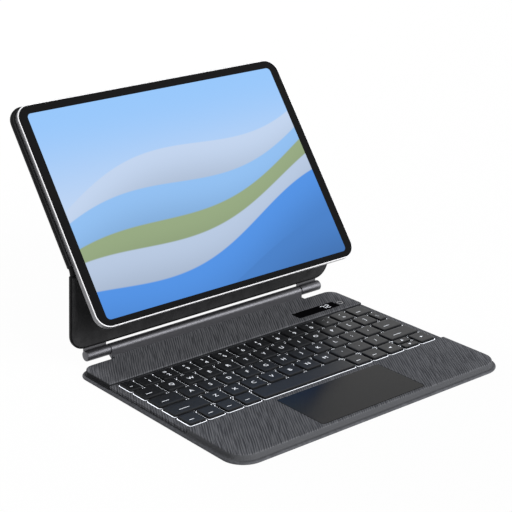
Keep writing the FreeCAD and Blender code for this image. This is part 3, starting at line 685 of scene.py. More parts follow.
class CASE_OT_stage(bpy.types.Operator):
    """Floor, lamps, white surroundings and the camera"""

    bl_idname = "case.stage"
    bl_label = "Stage"

    def execute(self, context):
        stage = context.scene.case_stage
        self.camera(context.scene, stage)
        self.floor()
        self.lamps(stage)
        self.surroundings(context.scene, stage)
        context.scene.view_settings.view_transform = "Standard"
        return {"FINISHED"}

    def camera(self, scene, stage):
        """Camera's own axes from its angles: back points from the object to it."""
        turn, height, roll = stage.turn, stage.height, stage.roll
        level = math.cos(height)
        back = np.array((math.sin(turn) * level, -math.cos(turn) * level, math.sin(height)))
        right = np.array((math.cos(turn), math.sin(turn), 0.0))
        up = np.cross(back, right)
        rolled_right = math.cos(roll) * right + math.sin(roll) * up
        rolled_up = math.cos(roll) * up - math.sin(roll) * right
        view = bpy.data.cameras.new("camera")
        view.lens = stage.lens
        view.sensor_width = SENSOR_WIDTH
        made = placed("camera", view)
        pose = np.eye(4)
        pose[:3] = np.stack([rolled_right, rolled_up, back, CAMERA_PLACE], 1)
        made.matrix_world = Matrix(pose.tolist())
        scene.camera = made

    def floor(self):
        """Ground that lights the object as pale grey and shows as nearly white."""
        mesh = bpy.data.meshes.new("floor")
        mesh.from_pydata(level_square(FLOOR_HALF, (0, 0, 0)).tolist(), [], [(0, 1, 2, 3)])
        finish = bpy.data.materials.new("pale floor")
        finish.use_nodes = True
        tree = finish.node_tree
        tree.nodes.clear()
        seen = shown_rays(tree)
        plain = add_node(tree, "ShaderNodeBsdfDiffuse", {"Color": FLOOR_GREY})
        white = add_node(tree, "ShaderNodeEmission", {"Color": WHITE, "Strength": 1.0})
        share = worked(tree, "MULTIPLY", seen, FLOOR_SHOWN)
        both = add_node(tree, "ShaderNodeMixShader", {0: share, 1: plain.outputs[0], 2: white.outputs[0]})
        add_node(tree, "ShaderNodeOutputMaterial", {0: both.outputs[0]})
        mesh.materials.append(finish)
        made = placed("floor", mesh)

    def lamps(self, stage):
        """Broad lamp before the object, low enough to reach under the tablet, a small one at the right,
        flagged so that it lights only the hinge's metal, and a weaker broad one behind."""
        for name, place, size, share in LAMPS:
            light = bpy.data.lights.new(name, "AREA")
            light.energy = stage.lamp * share
            light.size = size
            made = placed(name, light)
            made.rotation_euler = place.to_track_quat("Z", "Y").to_euler()
            made.location = place
            if name == "side lamp":
                made.light_linking.receiver_collection = bpy.data.collections.new(GLEAM)
            else:
                made.visible_glossy = False

    def surroundings(self, scene, stage):
        """World that shows as white and gives less light than it shows."""
        world = bpy.data.worlds.new("surroundings")
        world.use_nodes = True
        tree = world.node_tree
        tree.nodes.clear()
        strength = spread(tree, shown_rays(tree), 0.0, 1.0, stage.ambient, 1.0, smooth=False)
        light = add_node(tree, "ShaderNodeBackground", {"Color": WHITE, "Strength": strength})
        add_node(tree, "ShaderNodeOutputWorld", {0: light.outputs[0]})
        scene.world = world


def shown_rays(tree):
    """One for rays that show the surroundings: from the camera, in a gloss or through glass."""
    path = add_node(tree, "ShaderNodeLightPath").outputs
    seen = worked(tree, "MAXIMUM", path["Is Camera Ray"], path["Is Glossy Ray"])
    return worked(tree, "MAXIMUM", seen, path["Is Transmission Ray"])


class CASE_OT_deck(bpy.types.Operator):
    """Rolled hem, leather pads and the floor of the key trough"""

    bl_idname = "case.deck"
    bl_label = "Deck"

    def execute(self, context):
        deck = context.scene.case_deck
        coat = (deck.leather, deck.leather_dark, deck.streak_turn)
        leather = streaked_leather("deck leather", *coat)
        hem = grained("hem leather", deck.hem, grain=0.4 * MM, depth=0.03 * MM, rough=0.55,
                      specular_ior_level=0.1)
        low, high = node_box("bottom_cover")
        corners = (deck.front_corner, deck.rear_corner, deck.rear_corner, deck.front_corner)
        roll = (high[2] - low[2]) / 2
        shape = slab(low, high, corners, roll, roll, WIDE_STEPS)
        make_piece("hem", shape, hem, "base", "deck_leather", "bottom_cover")
        under_top = 0.2 * MM
        edge = node_box("rear_pad")[1][2] - under_top
        palm = streaked_leather("palm leather", *coat, edge, deck.wall)
        holes = [self.opening(deck, "trackpad_glass", deck.trackpad_corner)]
        self.pad(deck, "palm_pad", palm, holes, True)
        # The rear pad's walls are darkened by a painted shade under its top.
        rear = streaked_leather("rear leather", *coat, edge, deck.cut)
        holes = [self.opening(deck, "gauge_window", deck.gauge_corner), self.opening(deck, "power_button")]
        self.pad(deck, "rear_pad", rear, holes, False)
        self.hinge_strip(leather)
        dress(leather, "key_deck")
        return {"FINISHED"}

    def opening(self, deck, node, corner=None):
        """Outline of an opening, a gap wider than the node in it. It is round where no corner is given."""
        near, far = node_box(node)
        if corner is None:
            return round_hole((near + far) / 2, (far[0] - near[0]) / 2 + deck.opening_gap)
        return rounded_outline(near - deck.opening_gap, far + deck.opening_gap, corner)

    def pad(self, deck, node, leather, holes, at_front):
        """Pad over the deck's whole width: round outer corners, nearly square ones at the key trough, and a
        wall that runs out into the hem through a quarter circle. Its openings are wells with a soft lip."""
        low, high = node_box(node)
        hem = node_box("bottom_cover")[1]
        outer = (deck.front_corner if at_front else deck.rear_corner) - (hem[0] - high[0])
        step = deck.step_round
        corners = (outer, step, step, outer) if at_front else (step, outer, outer, step)
        turn = np.linspace(0, np.pi / 2, ROUND_STEPS)
        cove = np.stack([np.sin(turn) - 1, 1 - np.cos(turn)], 1) * deck.foot_round + (0, hem[2])
        over = quarter(0, high[2] - deck.edge_round, deck.edge_round, True)
        profile = np.concatenate([cove, over, [(deck.edge_round + EDGE_FLAT, high[2])]])
        lip, depth = 0.25 * MM, 2.2 * MM
        hole_profile = [(-2 * lip, high[2]), (-lip, high[2]), (-0.3 * lip, high[2] - 0.3 * lip),
                        (0, high[2] - lip), (0, high[2] - depth)]
        outline = rounded_outline(low, high, corners, WIDE_STEPS)
        shape = plate(Shape(), outline, profile, holes, hole_profile, wells=True)
        make_piece(node.replace("_", "_leather_"), shape, leather, "base", "deck_leather", node)

    def hinge_strip(self, leather):
        """Leather from the rear pad to the wall of the barrel, just under the pad's own top."""
        aside, under_pad, into_barrel = 0.4 * MM, 2.5 * MM, 3.5 * MM
        thickness, sunk, edge, corner = 2.0 * MM, 0.005 * MM, 0.1 * MM, 0.5 * MM
        pad_high, (low, high) = node_box("rear_pad")[1], node_box("hinge_barrel")
        near = (low[0] + aside, pad_high[1] - under_pad, pad_high[2] - thickness)
        far = (high[0] - aside, HINGE[1] - into_barrel, pad_high[2] - sunk)
        make_piece("hinge_strip", slab(near, far, corner, edge, edge, 3), leather, "base", "deck_leather")


class CASE_OT_keys(bpy.types.Operator):
    """Caps, their lettering, the rubber domes under them and the lit rims round their feet"""

    bl_idname = "case.keys"
    bl_label = "Keys"

    def execute(self, context):
        keys = context.scene.case_keys
        plastic = grained("key plastic", keys.plastic, grain=0.25 * MM, depth=0.006 * MM, rough=0.36,
                          vary=0.1, specular_ior_level=0.2)
        lettering = lit("lettering", keys.light, keys.print_glow)
        rubber = grained("dome rubber", srgb(206, 206, 202), grain=0.5 * MM, depth=0.01 * MM, rough=0.6)
        rim = lit("backlight rim", keys.light, keys.glow)
        rims = Shape()
        boxes = np.array([node_box(node) for node, count, marks in KEY_NODES])
        block = boxes[:, 0, :2].min(0), boxes[:, 1, :2].max(0)
        for node, count, marks in KEY_NODES:
            self.row(keys, node, count, marks, (plastic, lettering, rubber), rims, block)
        make_piece("backlight_rims", rims, rim, "base", "film")
        return {"FINISHED"}

    def row(self, keys, node, count, marks, finishes, rims, block):
        """Caps of one node: equal ones side by side, each gap as wide as the next."""
        plastic, lettering, rubber = finishes
        body = node.rsplit("_", 1)[0]
        low, high = node_box(node)
        pitch = (high[0] - low[0] + keys.gap) / count
        floor = node_box("key_deck")[1][2]
        caps, signs, domes = Shape(), Shape(), Shape()
        foot, crown = node_box("switch_membrane")[1][2], high[2] - keys.crown
        dome_gap, dome_play = 0.3 * MM, 0.05 * MM
        for number in range(count):
            near = np.array((low[0] + number * pitch, low[1]))
            far = np.array((near[0] + pitch - keys.gap, high[1]))
            outline = rounded_outline(near, far, keys.corner, 6)
            plate(caps, outline, self.cap_profile(keys, low[2], high[2], far[1] - near[1]))
            self.rim(keys, rims, outline, floor + PRINT_RISE, block)
            middle = (near + far) / 2
            room = (far - near).min() / 2 - keys.wall - dome_gap
            self.dome(domes, np.append(middle, 0), foot, crown - dome_play, min(keys.dome_radius, room))
            if marks:
                place = np.append(middle, high[2] - keys.dish + PRINT_RISE)
                self.mark(keys, signs, marks[number], place, far[0] - near[0])
        title = node.replace("_key", "_cap").replace("_bar", "_cap")
        make_piece(title, caps, plastic, body, "key_plastic", node)
        if signs.count:
            make_piece(body + "_lettering", signs, lettering, body, "key_plastic")
        springs = make_piece(body + "_domes", domes, rubber, "base", "dome_rubber", "key_domes")
        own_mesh(springs)

    def dome(self, domes, place, foot, crown, radius):
        """Rubber spring turned about the cap's middle: a skirt, a cone that narrows, and a flat crown."""
        rise = crown - foot
        profile = [(foot, radius), (foot + 0.1 * rise, radius), (foot + 0.7 * rise, 0.7 * radius),
                   (foot + 0.95 * rise, 0.6 * radius), (crown, 0.5 * radius)]
        turned_body(domes, profile, place, "z", 16)

    def rim(self, keys, rims, outline, level, block):
        """Lit band on the floor round a cap, wide along the block's edges and at the cap's corners, where it
        follows the sine of twice the direction, and narrow between two caps."""
        middle, _, way, radius = outline
        foot = middle + way * radius[:, None]
        straight, margin, start = 0.99, 1.0 * MM, 0.05 * MM
        at_low = (way < -straight) & (foot < block[0] + margin)
        at_high = (way > straight) & (foot > block[1] - margin)
        wide = np.maximum(np.abs(2 * way[:, 0] * way[:, 1]), (at_low | at_high).any(1))
        width = keys.glow_side + (keys.glow_width - keys.glow_side) * wide
        flat = np.stack([foot + way * width[:, None], foot + way * start])
        band = np.concatenate([flat, np.full(flat.shape[:2] + (1,), level)], 2)
        rims.add(band, strip_faces(*band.shape[:2]))

    def cap_profile(self, keys, foot, top, depth):
        """Hollow cap: its ceiling and inner wall, a side that leans in by the draft, a quarter round, and a
        top that sinks as the square of the way in."""
        edge = quarter(keys.draft, top - keys.edge_round, keys.edge_round, True)
        share = np.array((0.3, 0.6, 1.0))
        start = keys.draft + keys.edge_round
        last = 0.42 * depth
        way_in = start + share * (last - start)
        hollow = np.stack([way_in, top - keys.dish * (1 - (1 - share) ** 2)], 1)
        inside = [(keys.wall, top - keys.crown), (keys.wall, foot)]
        bevel = 0.2 * MM
        return np.concatenate([inside, [(bevel, foot), (0, foot + bevel)], edge, hollow])

    def mark(self, keys, signs, text, place, width):
        """A letter, a number with its small sign above, a triangle, or a plain bar at the left of the cap's
        front."""
        if text in MARK_TURNS:
            corner = np.radians(MARK_TURNS[text] + np.array((0.0, 130.0, 230.0)))
            reach = keys.mark_length / 2
            points = np.stack([reach * np.cos(corner), reach * np.sin(corner), np.zeros(3)], 1)
            signs.add(points + place, [(0, 1, 2)])
        elif text == "|":
            half = (keys.bar_share * width / 2, 0.25 * MM)
            aside = (-0.12 * width, -2.2 * MM, 0)
            signs.add(level_square(half, place + aside), [(0, 1, 2, 3)])
        elif text in NUMBER_SIGNS:
            down, up = (0, -2.6 * MM, 0), (0, 2.9 * MM, 0)
            signs.add(*glyph(text, keys.letter_height, place + down))
            signs.add(*glyph(NUMBER_SIGNS[text], keys.sign_height, place + up))
        else:
            signs.add(*glyph(text, keys.letter_height, place))


GLYPHS = {}


def glyph(text, height, place):
    """Filled outline of a character from the built-in font, centred on a place, as points and triangles."""
    if text not in GLYPHS:
        curve = bpy.data.curves.new("glyph", "FONT")
        curve.body = text
        curve.resolution_u = 3
        made = bpy.data.objects.new("glyph", curve)
        mesh = bpy.data.meshes.new_from_object(made)
        points = mesh_points(mesh)
        mesh.calc_loop_triangles()
        triangles = np.empty(len(mesh.loop_triangles) * 3, int)
        mesh.loop_triangles.foreach_get("vertices", triangles)
        bpy.data.objects.remove(made)
        bpy.data.curves.remove(curve)
        bpy.data.meshes.remove(mesh)
        points[:, :2] -= (points[:, :2].min(0) + points[:, :2].max(0)) / 2
        GLYPHS[text] = points, triangles.reshape(-1, 3)
    points, triangles = GLYPHS[text]
    return points * (height / CAPITAL) + place, triangles


class CASE_OT_trackpad(bpy.types.Operator):
    """Satin glass of the trackpad"""

    bl_idname = "case.trackpad"
    bl_label = "Trackpad"

    def execute(self, context):
        corner, under, over = 2.0 * MM, 0.1 * MM, 0.25 * MM
        shape = slab(*node_box("trackpad_glass"), corner, under, over)
        satin = smooth_black("trackpad glass", srgb(5, 5, 6), rough=0.17, specular_ior_level=0.1)
        make_piece("trackpad_surface", shape, satin, "trackpad", "trackpad", "trackpad_glass")
        return {"FINISHED"}


class CASE_OT_gauge(bpy.types.Operator):
    """Charge gauge with its lit number, and the power button"""

    bl_idname = "case.gauge"
    bl_label = "Gauge and button"

    def execute(self, context):
        keys = context.scene.case_keys
        gloss = smooth_black("gauge window", srgb(12, 12, 14), rough=0.2, specular_ior_level=0.0)
        low, high = node_box("gauge_window")
        corner, under, over = 0.5 * MM, 0.05 * MM, 0.12 * MM
        shape = slab(low, high, corner, under, over)
        make_piece("gauge_glass", shape, gloss, "base", "window", "gauge_window")
        show_low, show_high = node_box("gauge_display")
        aside, rise, pitch = 2.5 * MM, 0.02 * MM, 4.6 * MM
        place = (show_low + show_high) / 2 + (aside, 0, 0)
        place[2] = high[2] + rise
        digits = Shape()
        for number, bars in enumerate(("abc", "abged")):
            self.digit(digits, bars, place + ((number - 0.5) * pitch, 0, 0))
        light = lit("gauge light", keys.light, strength=1.0)
        make_piece("gauge_number", digits, light, "base", "window")
        self.button()
        return {"FINISHED"}

    def digit(self, digits, bars, place, half=1.4 * MM, line=0.3 * MM):
        """Number of seven bars: level ones across a digit two squares high, and upright ones at its sides."""
        spots = {"a": (0, 2, 0), "b": (1, 1, 1), "c": (1, -1, 1), "d": (0, -2, 0), "e": (-1, -1, 1),
                 "f": (-1, 1, 1), "g": (0, 0, 0)}
        for bar in bars:
            across, up, upright = spots[bar]
            reach = (line, half - line) if upright else (half - line, line)
            middle = place + (across * half, up * half, 0)
            digits.add(level_square(reach, middle), [(0, 1, 2, 3)])

    def button(self):
        """Round button with a raised ring: a profile turned about its own upright axis."""
        low, high = node_box("power_button")
        middle = (low + high) / 2
        radius = (high[0] - low[0]) / 2
        top = high[2]
        middle[2] = 0
        cap = [(low[2], radius - 0.1 * MM), (low[2] + 0.1 * MM, radius), (top - 0.35 * MM, radius),
               (top - 0.15 * MM, radius - 0.1 * MM), (top - 0.06 * MM, radius - 0.35 * MM),
               (top - 0.05 * MM, radius - 0.9 * MM), (top - 0.12 * MM, 0.5 * MM)]
        shape = turned_body(Shape(), cap, middle, "z")
        face = grained("button face", srgb(70, 71, 74), grain=0.4 * MM, depth=0.01 * MM, rough=0.6,
                       specular_ior_level=0.1)
        make_piece("power_cap", shape, face, "power", "key_plastic", "power_button")
        inner, outer, foot, head = 2.0 * MM, 2.7 * MM, top - 0.2 * MM, top - 0.02 * MM
        ring = [(foot, outer), (head, outer), (head, inner), (foot, inner)]
        hoop = turned_body(Shape(), ring, middle, "z")
        paint = grained("button ring", srgb(190, 190, 194), grain=0.3 * MM, depth=0.01 * MM, rough=0.5,
                        vary=0.1)
        make_piece("power_ring", hoop, paint, "power", "key_plastic")


class CASE_OT_hinge(bpy.types.Operator):
    """Barrel along the rear edge and the two knuckles that turn on its line"""

    bl_idname = "case.hinge"
    bl_label = "Hinge"

    def execute(self, context):
        hinge = context.scene.case_hinge
        lengthwise = (60, 4000, 4000)
        metal = brushed_metal("hinge metal", hinge.metal, rough=0.48, brush=lengthwise, metallic=0.95)
        paint = brushed_metal("web metal", hinge.web, rough=0.5, brush=lengthwise, metallic=0.0)
        low, high = node_box("hinge_barrel")
        radius = high[1] - HINGE[1]
        shape = self.barrel(low, high, radius, hinge)
        made = make_piece("barrel", shape, metal, "base", "hinge_metal", "hinge_barrel")
        bpy.data.collections[GLEAM].objects.link(made)
        for side, node in ((-1, "knuckle_left"), (1, "knuckle_right")):
            self.knuckle(hinge, node, side, radius, metal, paint)
        return {"FINISHED"}

    def barrel(self, low, high, radius, hinge):
        """Section carried along the axis and drawn in a little at both ends: a straight line from the heel to
        a circle at its tangent, the circle over the top to its foremost point, and from there a wall straight
        down."""
        heel_inset = 0.3 * MM
        heel = np.array((node_box("bottom_cover")[1][1] - heel_inset, low[2]))
        middle = HINGE[1:]
        reach = heel - middle
        start = math.atan2(reach[1], reach[0]) + math.acos(radius / np.hypot(*reach))
        sweep = np.linspace(start, math.pi, 41)
        circle = middle + radius * np.stack([np.cos(sweep), np.sin(sweep)], 1)
        section = np.concatenate([[(circle[-1, 0], low[2]), heel], circle])
        inset = hinge.joint_round
        place = np.array((low[0], low[0] + inset, high[0] - inset, high[0]))
        scale = np.array((1 - inset / radius, 1.0, 1.0, 1 - inset / radius))
        ring = middle + (section - middle) * scale[:, None, None]
        across = np.broadcast_to(place[:, None, None], ring.shape[:2] + (1,))
        return tube(Shape(), np.concatenate([across, ring], 2))

    def knuckle(self, hinge, node, side, radius, metal, paint):
        """Round end piece turned about the hinge line, and the flat web that runs from it into the stand."""
        low, high = node_box(node)
        inner, outer = (low[0], high[0]) if side > 0 else (-high[0], -low[0])
        near, far = hinge.joint_round, hinge.end_round
        turn = np.linspace(0, np.pi / 2, 6)
        curve = np.stack([1 - np.sin(turn), np.cos(turn) - 1], 1)
        inner_end = (inner, radius) + near * curve[::-1]
        outer_end = (outer, radius) + far * curve * (-1, 1)
        profile = np.concatenate([inner_end, outer_end])
        if side < 0:
            profile = (profile * (-1, 1))[::-1]
        shape = turned_body(Shape(), profile, np.array((0, HINGE[1], HINGE[2])), "x")
        board_low, board_high = closed_box("stand_board", "stand")
        skin = closed_box("stand_outer_skin", "stand")[1][1]
        into_skin, short_of_axis, corner, edge = 2.0 * MM, 1.6 * MM, 0.3 * MM, 0.2 * MM
        web_low = np.array((inner, skin - into_skin, board_low[2]))
        web_high = np.array((outer - far, -short_of_axis, board_high[2]))
        if side < 0:
            web_low[0], web_high[0] = -web_high[0], -web_low[0]
        web = slab(web_low, web_high, corner, edge, edge, 4).moved(on_stand)
        made = make_piece(node + "_metal", shape, metal, "stand", "hinge_metal", node)
        bpy.data.collections[GLEAM].objects.link(made)
        make_piece(node + "_web", web, paint, "stand", "hinge_metal")


def turned_up(points, turn, pivot, place):
    """Points of the closed cover, turned up about a line along x: pivot is that line's place in the closed
    cover, as distance behind and height above the hinge line, and place is where it stands at rest."""
    back, height = points[..., 1] - pivot[0], points[..., 2] - pivot[1]
    cosine, sine = math.cos(turn), math.sin(turn)
    return np.stack([points[..., 0], place[1] + back * cosine + height * sine,
                     place[2] - back * sine + height * cosine], -1)


def turned_down(points, turn, pivot, place):
    """The way back: points at rest, as they lie in the closed cover."""
    back, height = points[..., 1] - place[1], points[..., 2] - place[2]
    cosine, sine = math.cos(turn), math.sin(turn)
    return np.stack([points[..., 0], pivot[0] + back * cosine - height * sine,
                     pivot[1] + back * sine + height * cosine], -1)


FOLD_PIVOT = turned_down(FOLD, STAND_TURN, (0.0, 0.0), HINGE)[1:]
TURNS = {"stand": (STAND_TURN, (0.0, 0.0), HINGE), "panel": (PANEL_TURN, FOLD_PIVOT, FOLD)}


def on_stand(points):
    """Points of the closed stand, as it stands at rest."""
    return turned_up(points, *TURNS["stand"])


def on_panel(points):
    """Points of the closed panel, as it stands at rest."""
    return turned_up(points, *TURNS["panel"])


def closed_box(node, part):
    """Lowest and highest corner of a CAD node as it lies in the closed cover."""
    points = turned_down(node_points(node), *TURNS[part])
    return points.min(0), points.max(0)


class CASE_OT_covers(bpy.types.Operator):
    """Lining and outer skin of the stand and the panel, and the soft skin over the fold between them"""

    bl_idname = "case.covers"
    bl_label = "Covers"

    def execute(self, context):
        covers = context.scene.case_covers
        lining = grained("lining", covers.lining, grain=0.9 * MM, depth=0.03 * MM, rough=0.8, vary=0.2,
                         specular_ior_level=0.08)
        skin = grained("cover leather", covers.skin, grain=0.9 * MM, depth=0.09 * MM, rough=0.5, vary=0.2,
                       specular_ior_level=0.1)
        fold, lower, upper = covers.fold_corner, covers.stand_corner, covers.panel_corner
        self.board(covers, "stand", (fold, lower, lower, fold), on_stand, lining, skin, [])
        window = self.camera_window(covers)
        self.board(covers, "panel", (upper, fold, fold, upper), on_panel, lining, skin, [window])
        self.fold(covers, skin)
        board = grained("board", srgb(70, 68, 64), grain=0.8 * MM, depth=0.03 * MM, rough=0.8)
        dress(board, "stand_board", "panel_board")
        return {"FINISHED"}

    def board(self, covers, part, corners, place, lining, skin, holes):
        """Two skins on one board: each a plate in the closed cover with its outer edge rounded. The outer one
        is turned over the edge and shows as a border round the lining. Its holes flare at both faces."""
        sunk, flare, drop, back_round = 0.2 * MM, 0.4 * MM, 0.2 * MM, 0.1 * MM
        front = closed_box(f"{part}_inner_skin", part)[0][2]
        for name, finish, slot in (("inner", lining, "lining"), ("outer", skin, "cover_leather")):
            node = f"{part}_{name}_skin"
            low, high = closed_box(node, part)
            rounds, border = (covers.lining_round, back_round), covers.border
            if name == "outer":
                rounds, border = (covers.lining_round, covers.edge_round), 0.0
                low[2] = front + sunk
            profile = plate_profile(low[2], high[2], *rounds) + (border, 0)
            walls = [(-flare, high[2]), (0, high[2] - drop), (0, low[2] + drop), (-flare, low[2])]
            shape = plate(Shape(), rounded_outline(low, high, corners, 13), profile, holes, walls)
            make_piece(f"{part}_{name}_cover", shape.moved(place), finish, part, slot, node)

    def camera_window(self, covers):
        """Opening of the panel round the camera, read from the lining's own points about the camera."""
        low, high = closed_box("tablet_camera", "panel")
        middle = (low + high) / 2
        points = turned_down(node_points("panel_inner_skin"), *TURNS["panel"])
        reach = 0.75 * (high - low)
        near = points[np.all(np.abs(points - middle)[:, :2] < reach[:2], 1)]
        return rounded_outline(near.min(0), near.max(0), covers.window_corner)

    def fold(self, covers, skin):
        """Soft skin that leaves both boards square to their edges: a flat oval section carried along an arc,
        with a straight lead before it and a straight tail after it."""
        stand_far = closed_box("stand_board", "stand")[0][1]
        panel_near = closed_box("panel_board", "panel")[1][1]
        half_width = node_box("fold_strip")[1][0]
        bend = PANEL_TURN - STAND_TURN
        gap = FOLD_PIVOT[0] - panel_near
        radius = gap / math.tan(bend / 2)
        turn = np.linspace(0, bend, 15)
        overlap = 2.0 * MM
        tail = np.linspace(0, overlap, 4)[1:]
        start = FOLD_PIVOT[0] + gap
        if stand_far > start + overlap:
            raise ValueError("the fold's skin doesn't reach the stand")
        arc_back = start - radius * np.sin(turn)
        arc_up = FOLD_PIVOT[1] + radius * (1 - np.cos(turn))
        back = np.concatenate([start + tail[::-1], arc_back, arc_back[-1] - tail * math.cos(bend)])
        up = np.concatenate([np.full(3, arc_up[0]), arc_up, arc_up[-1] + tail * math.sin(bend)])
        way = np.concatenate([np.zeros(3), turn, np.full(3, bend)])
        half = covers.strip_thickness / 2
        flank, shoulder = 0.6, 0.996
        cross = np.array([(-1, -flank), (-shoulder, -1), (shoulder, -1), (1, -flank),
                          (1, flank), (shoulder, 1), (-shoulder, 1), (-1, flank)]) * (half_width, half)
        across = np.broadcast_to(cross[:, 0], (len(back), len(cross)))
        offset = cross[:, 1]
        grid = np.stack([across, back[:, None] + offset * np.sin(way)[:, None],
                         up[:, None] + offset * np.cos(way)[:, None]], 2)
        shape = tube(Shape(), grid).moved(on_stand)
        made = make_piece("fold_skin", shape, skin, None, "cover_leather", "fold_strip")
        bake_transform(made)


class CASE_OT_tablet(bpy.types.Operator):
    """Tablet in the case: metal housing, black glass, lit picture and camera"""

    bl_idname = "case.tablet"
    bl_label = "Tablet"

    def execute(self, context):
        tablet = context.scene.case_tablet
        metal = brushed_metal("tablet metal", tablet.metal, rough=0.36, brush=(150, 150, 2500), metallic=0.7)
        # The rim's near-white colour is a painted highlight on its polished bevel.
        rim_highlight = brushed_metal("polished rim", tablet.rim_highlight, rough=0.25, brush=(1500, 1500, 1500),
                               metallic=0.1)
        gloss = smooth_black("tablet glass", srgb(14, 14, 15), rough=0.08, specular_ior_level=0.07)
        low, high = closed_box("tablet_housing", "panel")
        outline = rounded_outline(low, high, tablet.corner, WIDE_STEPS)
        profile = plate_profile(low[2], high[2], tablet.front_round, tablet.back_round, tablet.flat)
        shell = plate(Shape(), outline, profile).moved(on_panel)
        make_piece("tablet_shell", shell, metal, "tablet", "tablet_metal", "tablet_housing")
        inset = np.array((tablet.rim, tablet.rim, 0))
        front = low[2] - PRINT_RISE
        thickness, over, under = 0.4 * MM, 0.1 * MM, 0.05 * MM
        edge = rounded_outline(low + inset, high - inset, tablet.corner - tablet.rim, WIDE_STEPS)
        glass = plate(Shape(), edge, plate_profile(front, front + thickness, over, under)).moved(on_panel)
        make_piece("tablet_front", glass, gloss, "tablet", "gloss_black", "tablet_glass")
        self.rim(tablet, outline, low[2], rim_highlight)
        self.screen(tablet, low, high, front - PRINT_RISE)
        self.camera(gloss, metal)
        return {"FINISHED"}

    def rim(self, tablet, outline, front, rim_highlight):
        """Polished bevel round the glass, whose near-white colour is a painted highlight: a thin closed
        section carried round the housing's outline.
        """
        out, lap, bevel, depth = 0.02 * MM, 0.05 * MM, 0.2 * MM, 0.25 * MM
        into, foot = tablet.rim - lap, front + depth
        section = [(into, foot), (into, front - out), (bevel, front - out), (-out, front + bevel - out),
                   (-out, foot), (into, foot)]
        grid = rings(outline, section)
        shape = Shape()
        shape.add(grid, strip_faces(*grid.shape[:2]))
        make_piece("tablet_rim", shape.moved(on_panel), rim_highlight, "tablet", "tablet_metal")

    def screen(self, tablet, low, high, level):
        """Flat sheet with round corners, facing the user, with a map from 0 to 1 over its width and
        height."""
        low = low + (tablet.side_border, tablet.top_border, 0)
        high = high - (tablet.side_border, tablet.foot_border, 0)
        edge = rings(rounded_outline(low, high, tablet.picture_corner, 13), [(0, level)])[0]
        shape = Shape()
        shape.add(edge, [np.arange(len(edge))[::-1]])
        made = make_piece("screen_picture", shape.moved(on_panel), picture(tablet), "tablet", "screen")
        mesh = made.data
        corners = np.empty(len(mesh.loops), int)
        mesh.loops.foreach_get("vertex_index", corners)
        closed = turned_down(mesh_points(mesh), *TURNS["panel"])
        spot = (closed[:, :2] - low[:2]) / (high - low)[:2]
        spot[:, 1] = 1 - spot[:, 1]
        mesh.uv_layers.new(name="screen").data.foreach_set("uv", spot[corners].ravel())

    def camera(self, gloss, metal):
        """Low island with rounded edges, and two lenses turned about their own axes."""
        low, high = closed_box("tablet_camera", "panel")
        corner, lens_rise, radius, lens_radius = 8.0 * MM, 0.6 * MM, 5.0 * MM, 4.1 * MM
        under, over = 0.05 * MM, 0.5 * MM
        head = high[2]
        top = head - lens_rise
        island = slab(low, (*high[:2], top), corner, under, over).moved(on_panel)
        make_piece("camera_island", island, metal, "tablet", "tablet_metal", "tablet_camera")
        hoop = [(top - 0.1 * MM, radius), (head - 0.1 * MM, radius), (head, radius - 0.1 * MM),
                (head, radius - 0.7 * MM), (head - 0.25 * MM, radius - 0.8 * MM)]
        lens = [(top, lens_radius), (head - 0.2 * MM, lens_radius), (head - 0.12 * MM, 2.4 * MM),
                (head - 0.1 * MM, 0.8 * MM)]
        hoops, lenses = Shape(), Shape()
        for side in (-1, 1):
            place = (low + high) / 2 + side * (high - low) / 4
            place[2] = 0
            turned_body(hoops, hoop, place, "z")
            turned_body(lenses, lens, place, "z")
        make_piece("camera_hoops", hoops.moved(on_panel), metal, "tablet", "tablet_metal")
        make_piece("camera_lenses", lenses.moved(on_panel), gloss, "tablet", "gloss_black")


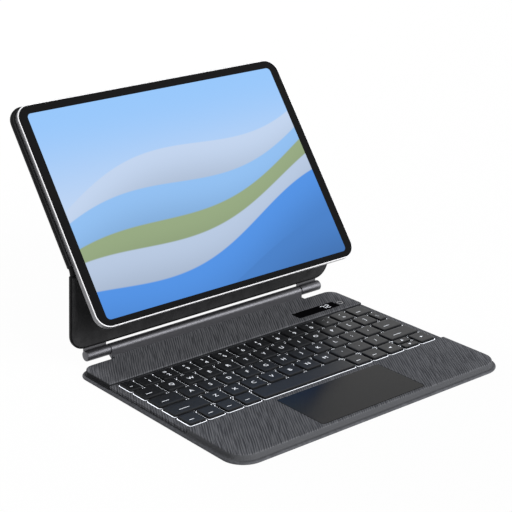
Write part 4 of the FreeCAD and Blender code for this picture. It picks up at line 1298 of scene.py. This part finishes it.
class CASE_OT_inner_parts(bpy.types.Operator):
    """Finishes of the parts inside, which keep their own shapes"""

    bl_idname = "case.inner_parts"
    bl_label = "Inner parts"

    def execute(self, context):
        steel = brushed_metal("steel", srgb(170, 171, 174), rough=0.3, brush=(200, 2000, 2000))
        dress(steel, "hinge_pins", "friction_sleeves", "switch_plate", "trackpad_bracket", "charge_port")
        plating = brushed_metal("magnet plating", srgb(150, 150, 156), rough=0.25, brush=(800, 800, 800))
        dress(plating, "holding_magnets")
        # Each finish's name, colour, size and depth of its grain in millimetres, roughness, and nodes.
        moulded = (
            ("circuit board", (24, 74, 50), 1.2, 0.02, 0.4, ("control_board", "trackpad_board")),
            ("case plastic", (38, 38, 40), 0.3, 0.02, 0.5, ("keyboard_frame",)),
            ("light guide", (226, 230, 236), 2.0, 0.01, 0.25, ("backlight_guide",)),
            ("membrane", (150, 160, 150), 1.5, 0.01, 0.35, ("switch_membrane",)),
            ("cell wrap", (120, 122, 128), 1.5, 0.02, 0.35, ("battery_cells",)),
        )
        for name, shown, grain, depth, rough, nodes in moulded:
            dress(grained(name, srgb(*shown), grain * MM, depth * MM, rough), *nodes)
        dress(smooth_black("display", srgb(12, 12, 14), rough=0.2), "gauge_display")
        return {"FINISHED"}


class CASE_PT_panel(bpy.types.Panel):
    """Sizes, colours and steps of the keyboard case"""

    bl_idname = "CASE_PT_panel"
    bl_label = "Keyboard case"
    bl_space_type = "VIEW_3D"
    bl_region_type = "UI"
    bl_category = "Case"

    def draw(self, context):
        """A button for each step, and each group of settings in a box."""
        for step in STEPS:
            self.layout.operator(step.bl_idname)
        for name in SETTINGS:
            group = getattr(context.scene, name)
            box = self.layout.box()
            for title in type(group).__annotations__:
                box.prop(group, title)


SETTINGS = {
    "case_stage": StageSettings, "case_deck": DeckSettings, "case_keys": KeySettings,
    "case_hinge": HingeSettings, "case_covers": CoverSettings, "case_tablet": TabletSettings,
}
STEPS = (CASE_OT_stage, CASE_OT_deck, CASE_OT_keys, CASE_OT_trackpad, CASE_OT_gauge, CASE_OT_hinge,
         CASE_OT_covers, CASE_OT_tablet, CASE_OT_inner_parts)
CLASSES = (*SETTINGS.values(), *STEPS, CASE_PT_panel)


def register():
    """Adds the classes and puts their settings on the scene."""
    for made in CLASSES:
        bpy.utils.register_class(made)
    for name, group in SETTINGS.items():
        setattr(bpy.types.Scene, name, bpy.props.PointerProperty(type=group))


def unregister():
    """Takes the settings and the classes away again."""
    for name in SETTINGS:
        delattr(bpy.types.Scene, name)
    for made in reversed(CLASSES):
        bpy.utils.unregister_class(made)


def main():
    """Runs every step."""
    register()
    bpy.ops.case.stage()
    bpy.ops.case.deck()
    bpy.ops.case.keys()
    bpy.ops.case.trackpad()
    bpy.ops.case.gauge()
    bpy.ops.case.hinge()
    bpy.ops.case.covers()
    bpy.ops.case.tablet()
    bpy.ops.case.inner_parts()


if __name__ == "__main__":
    main()
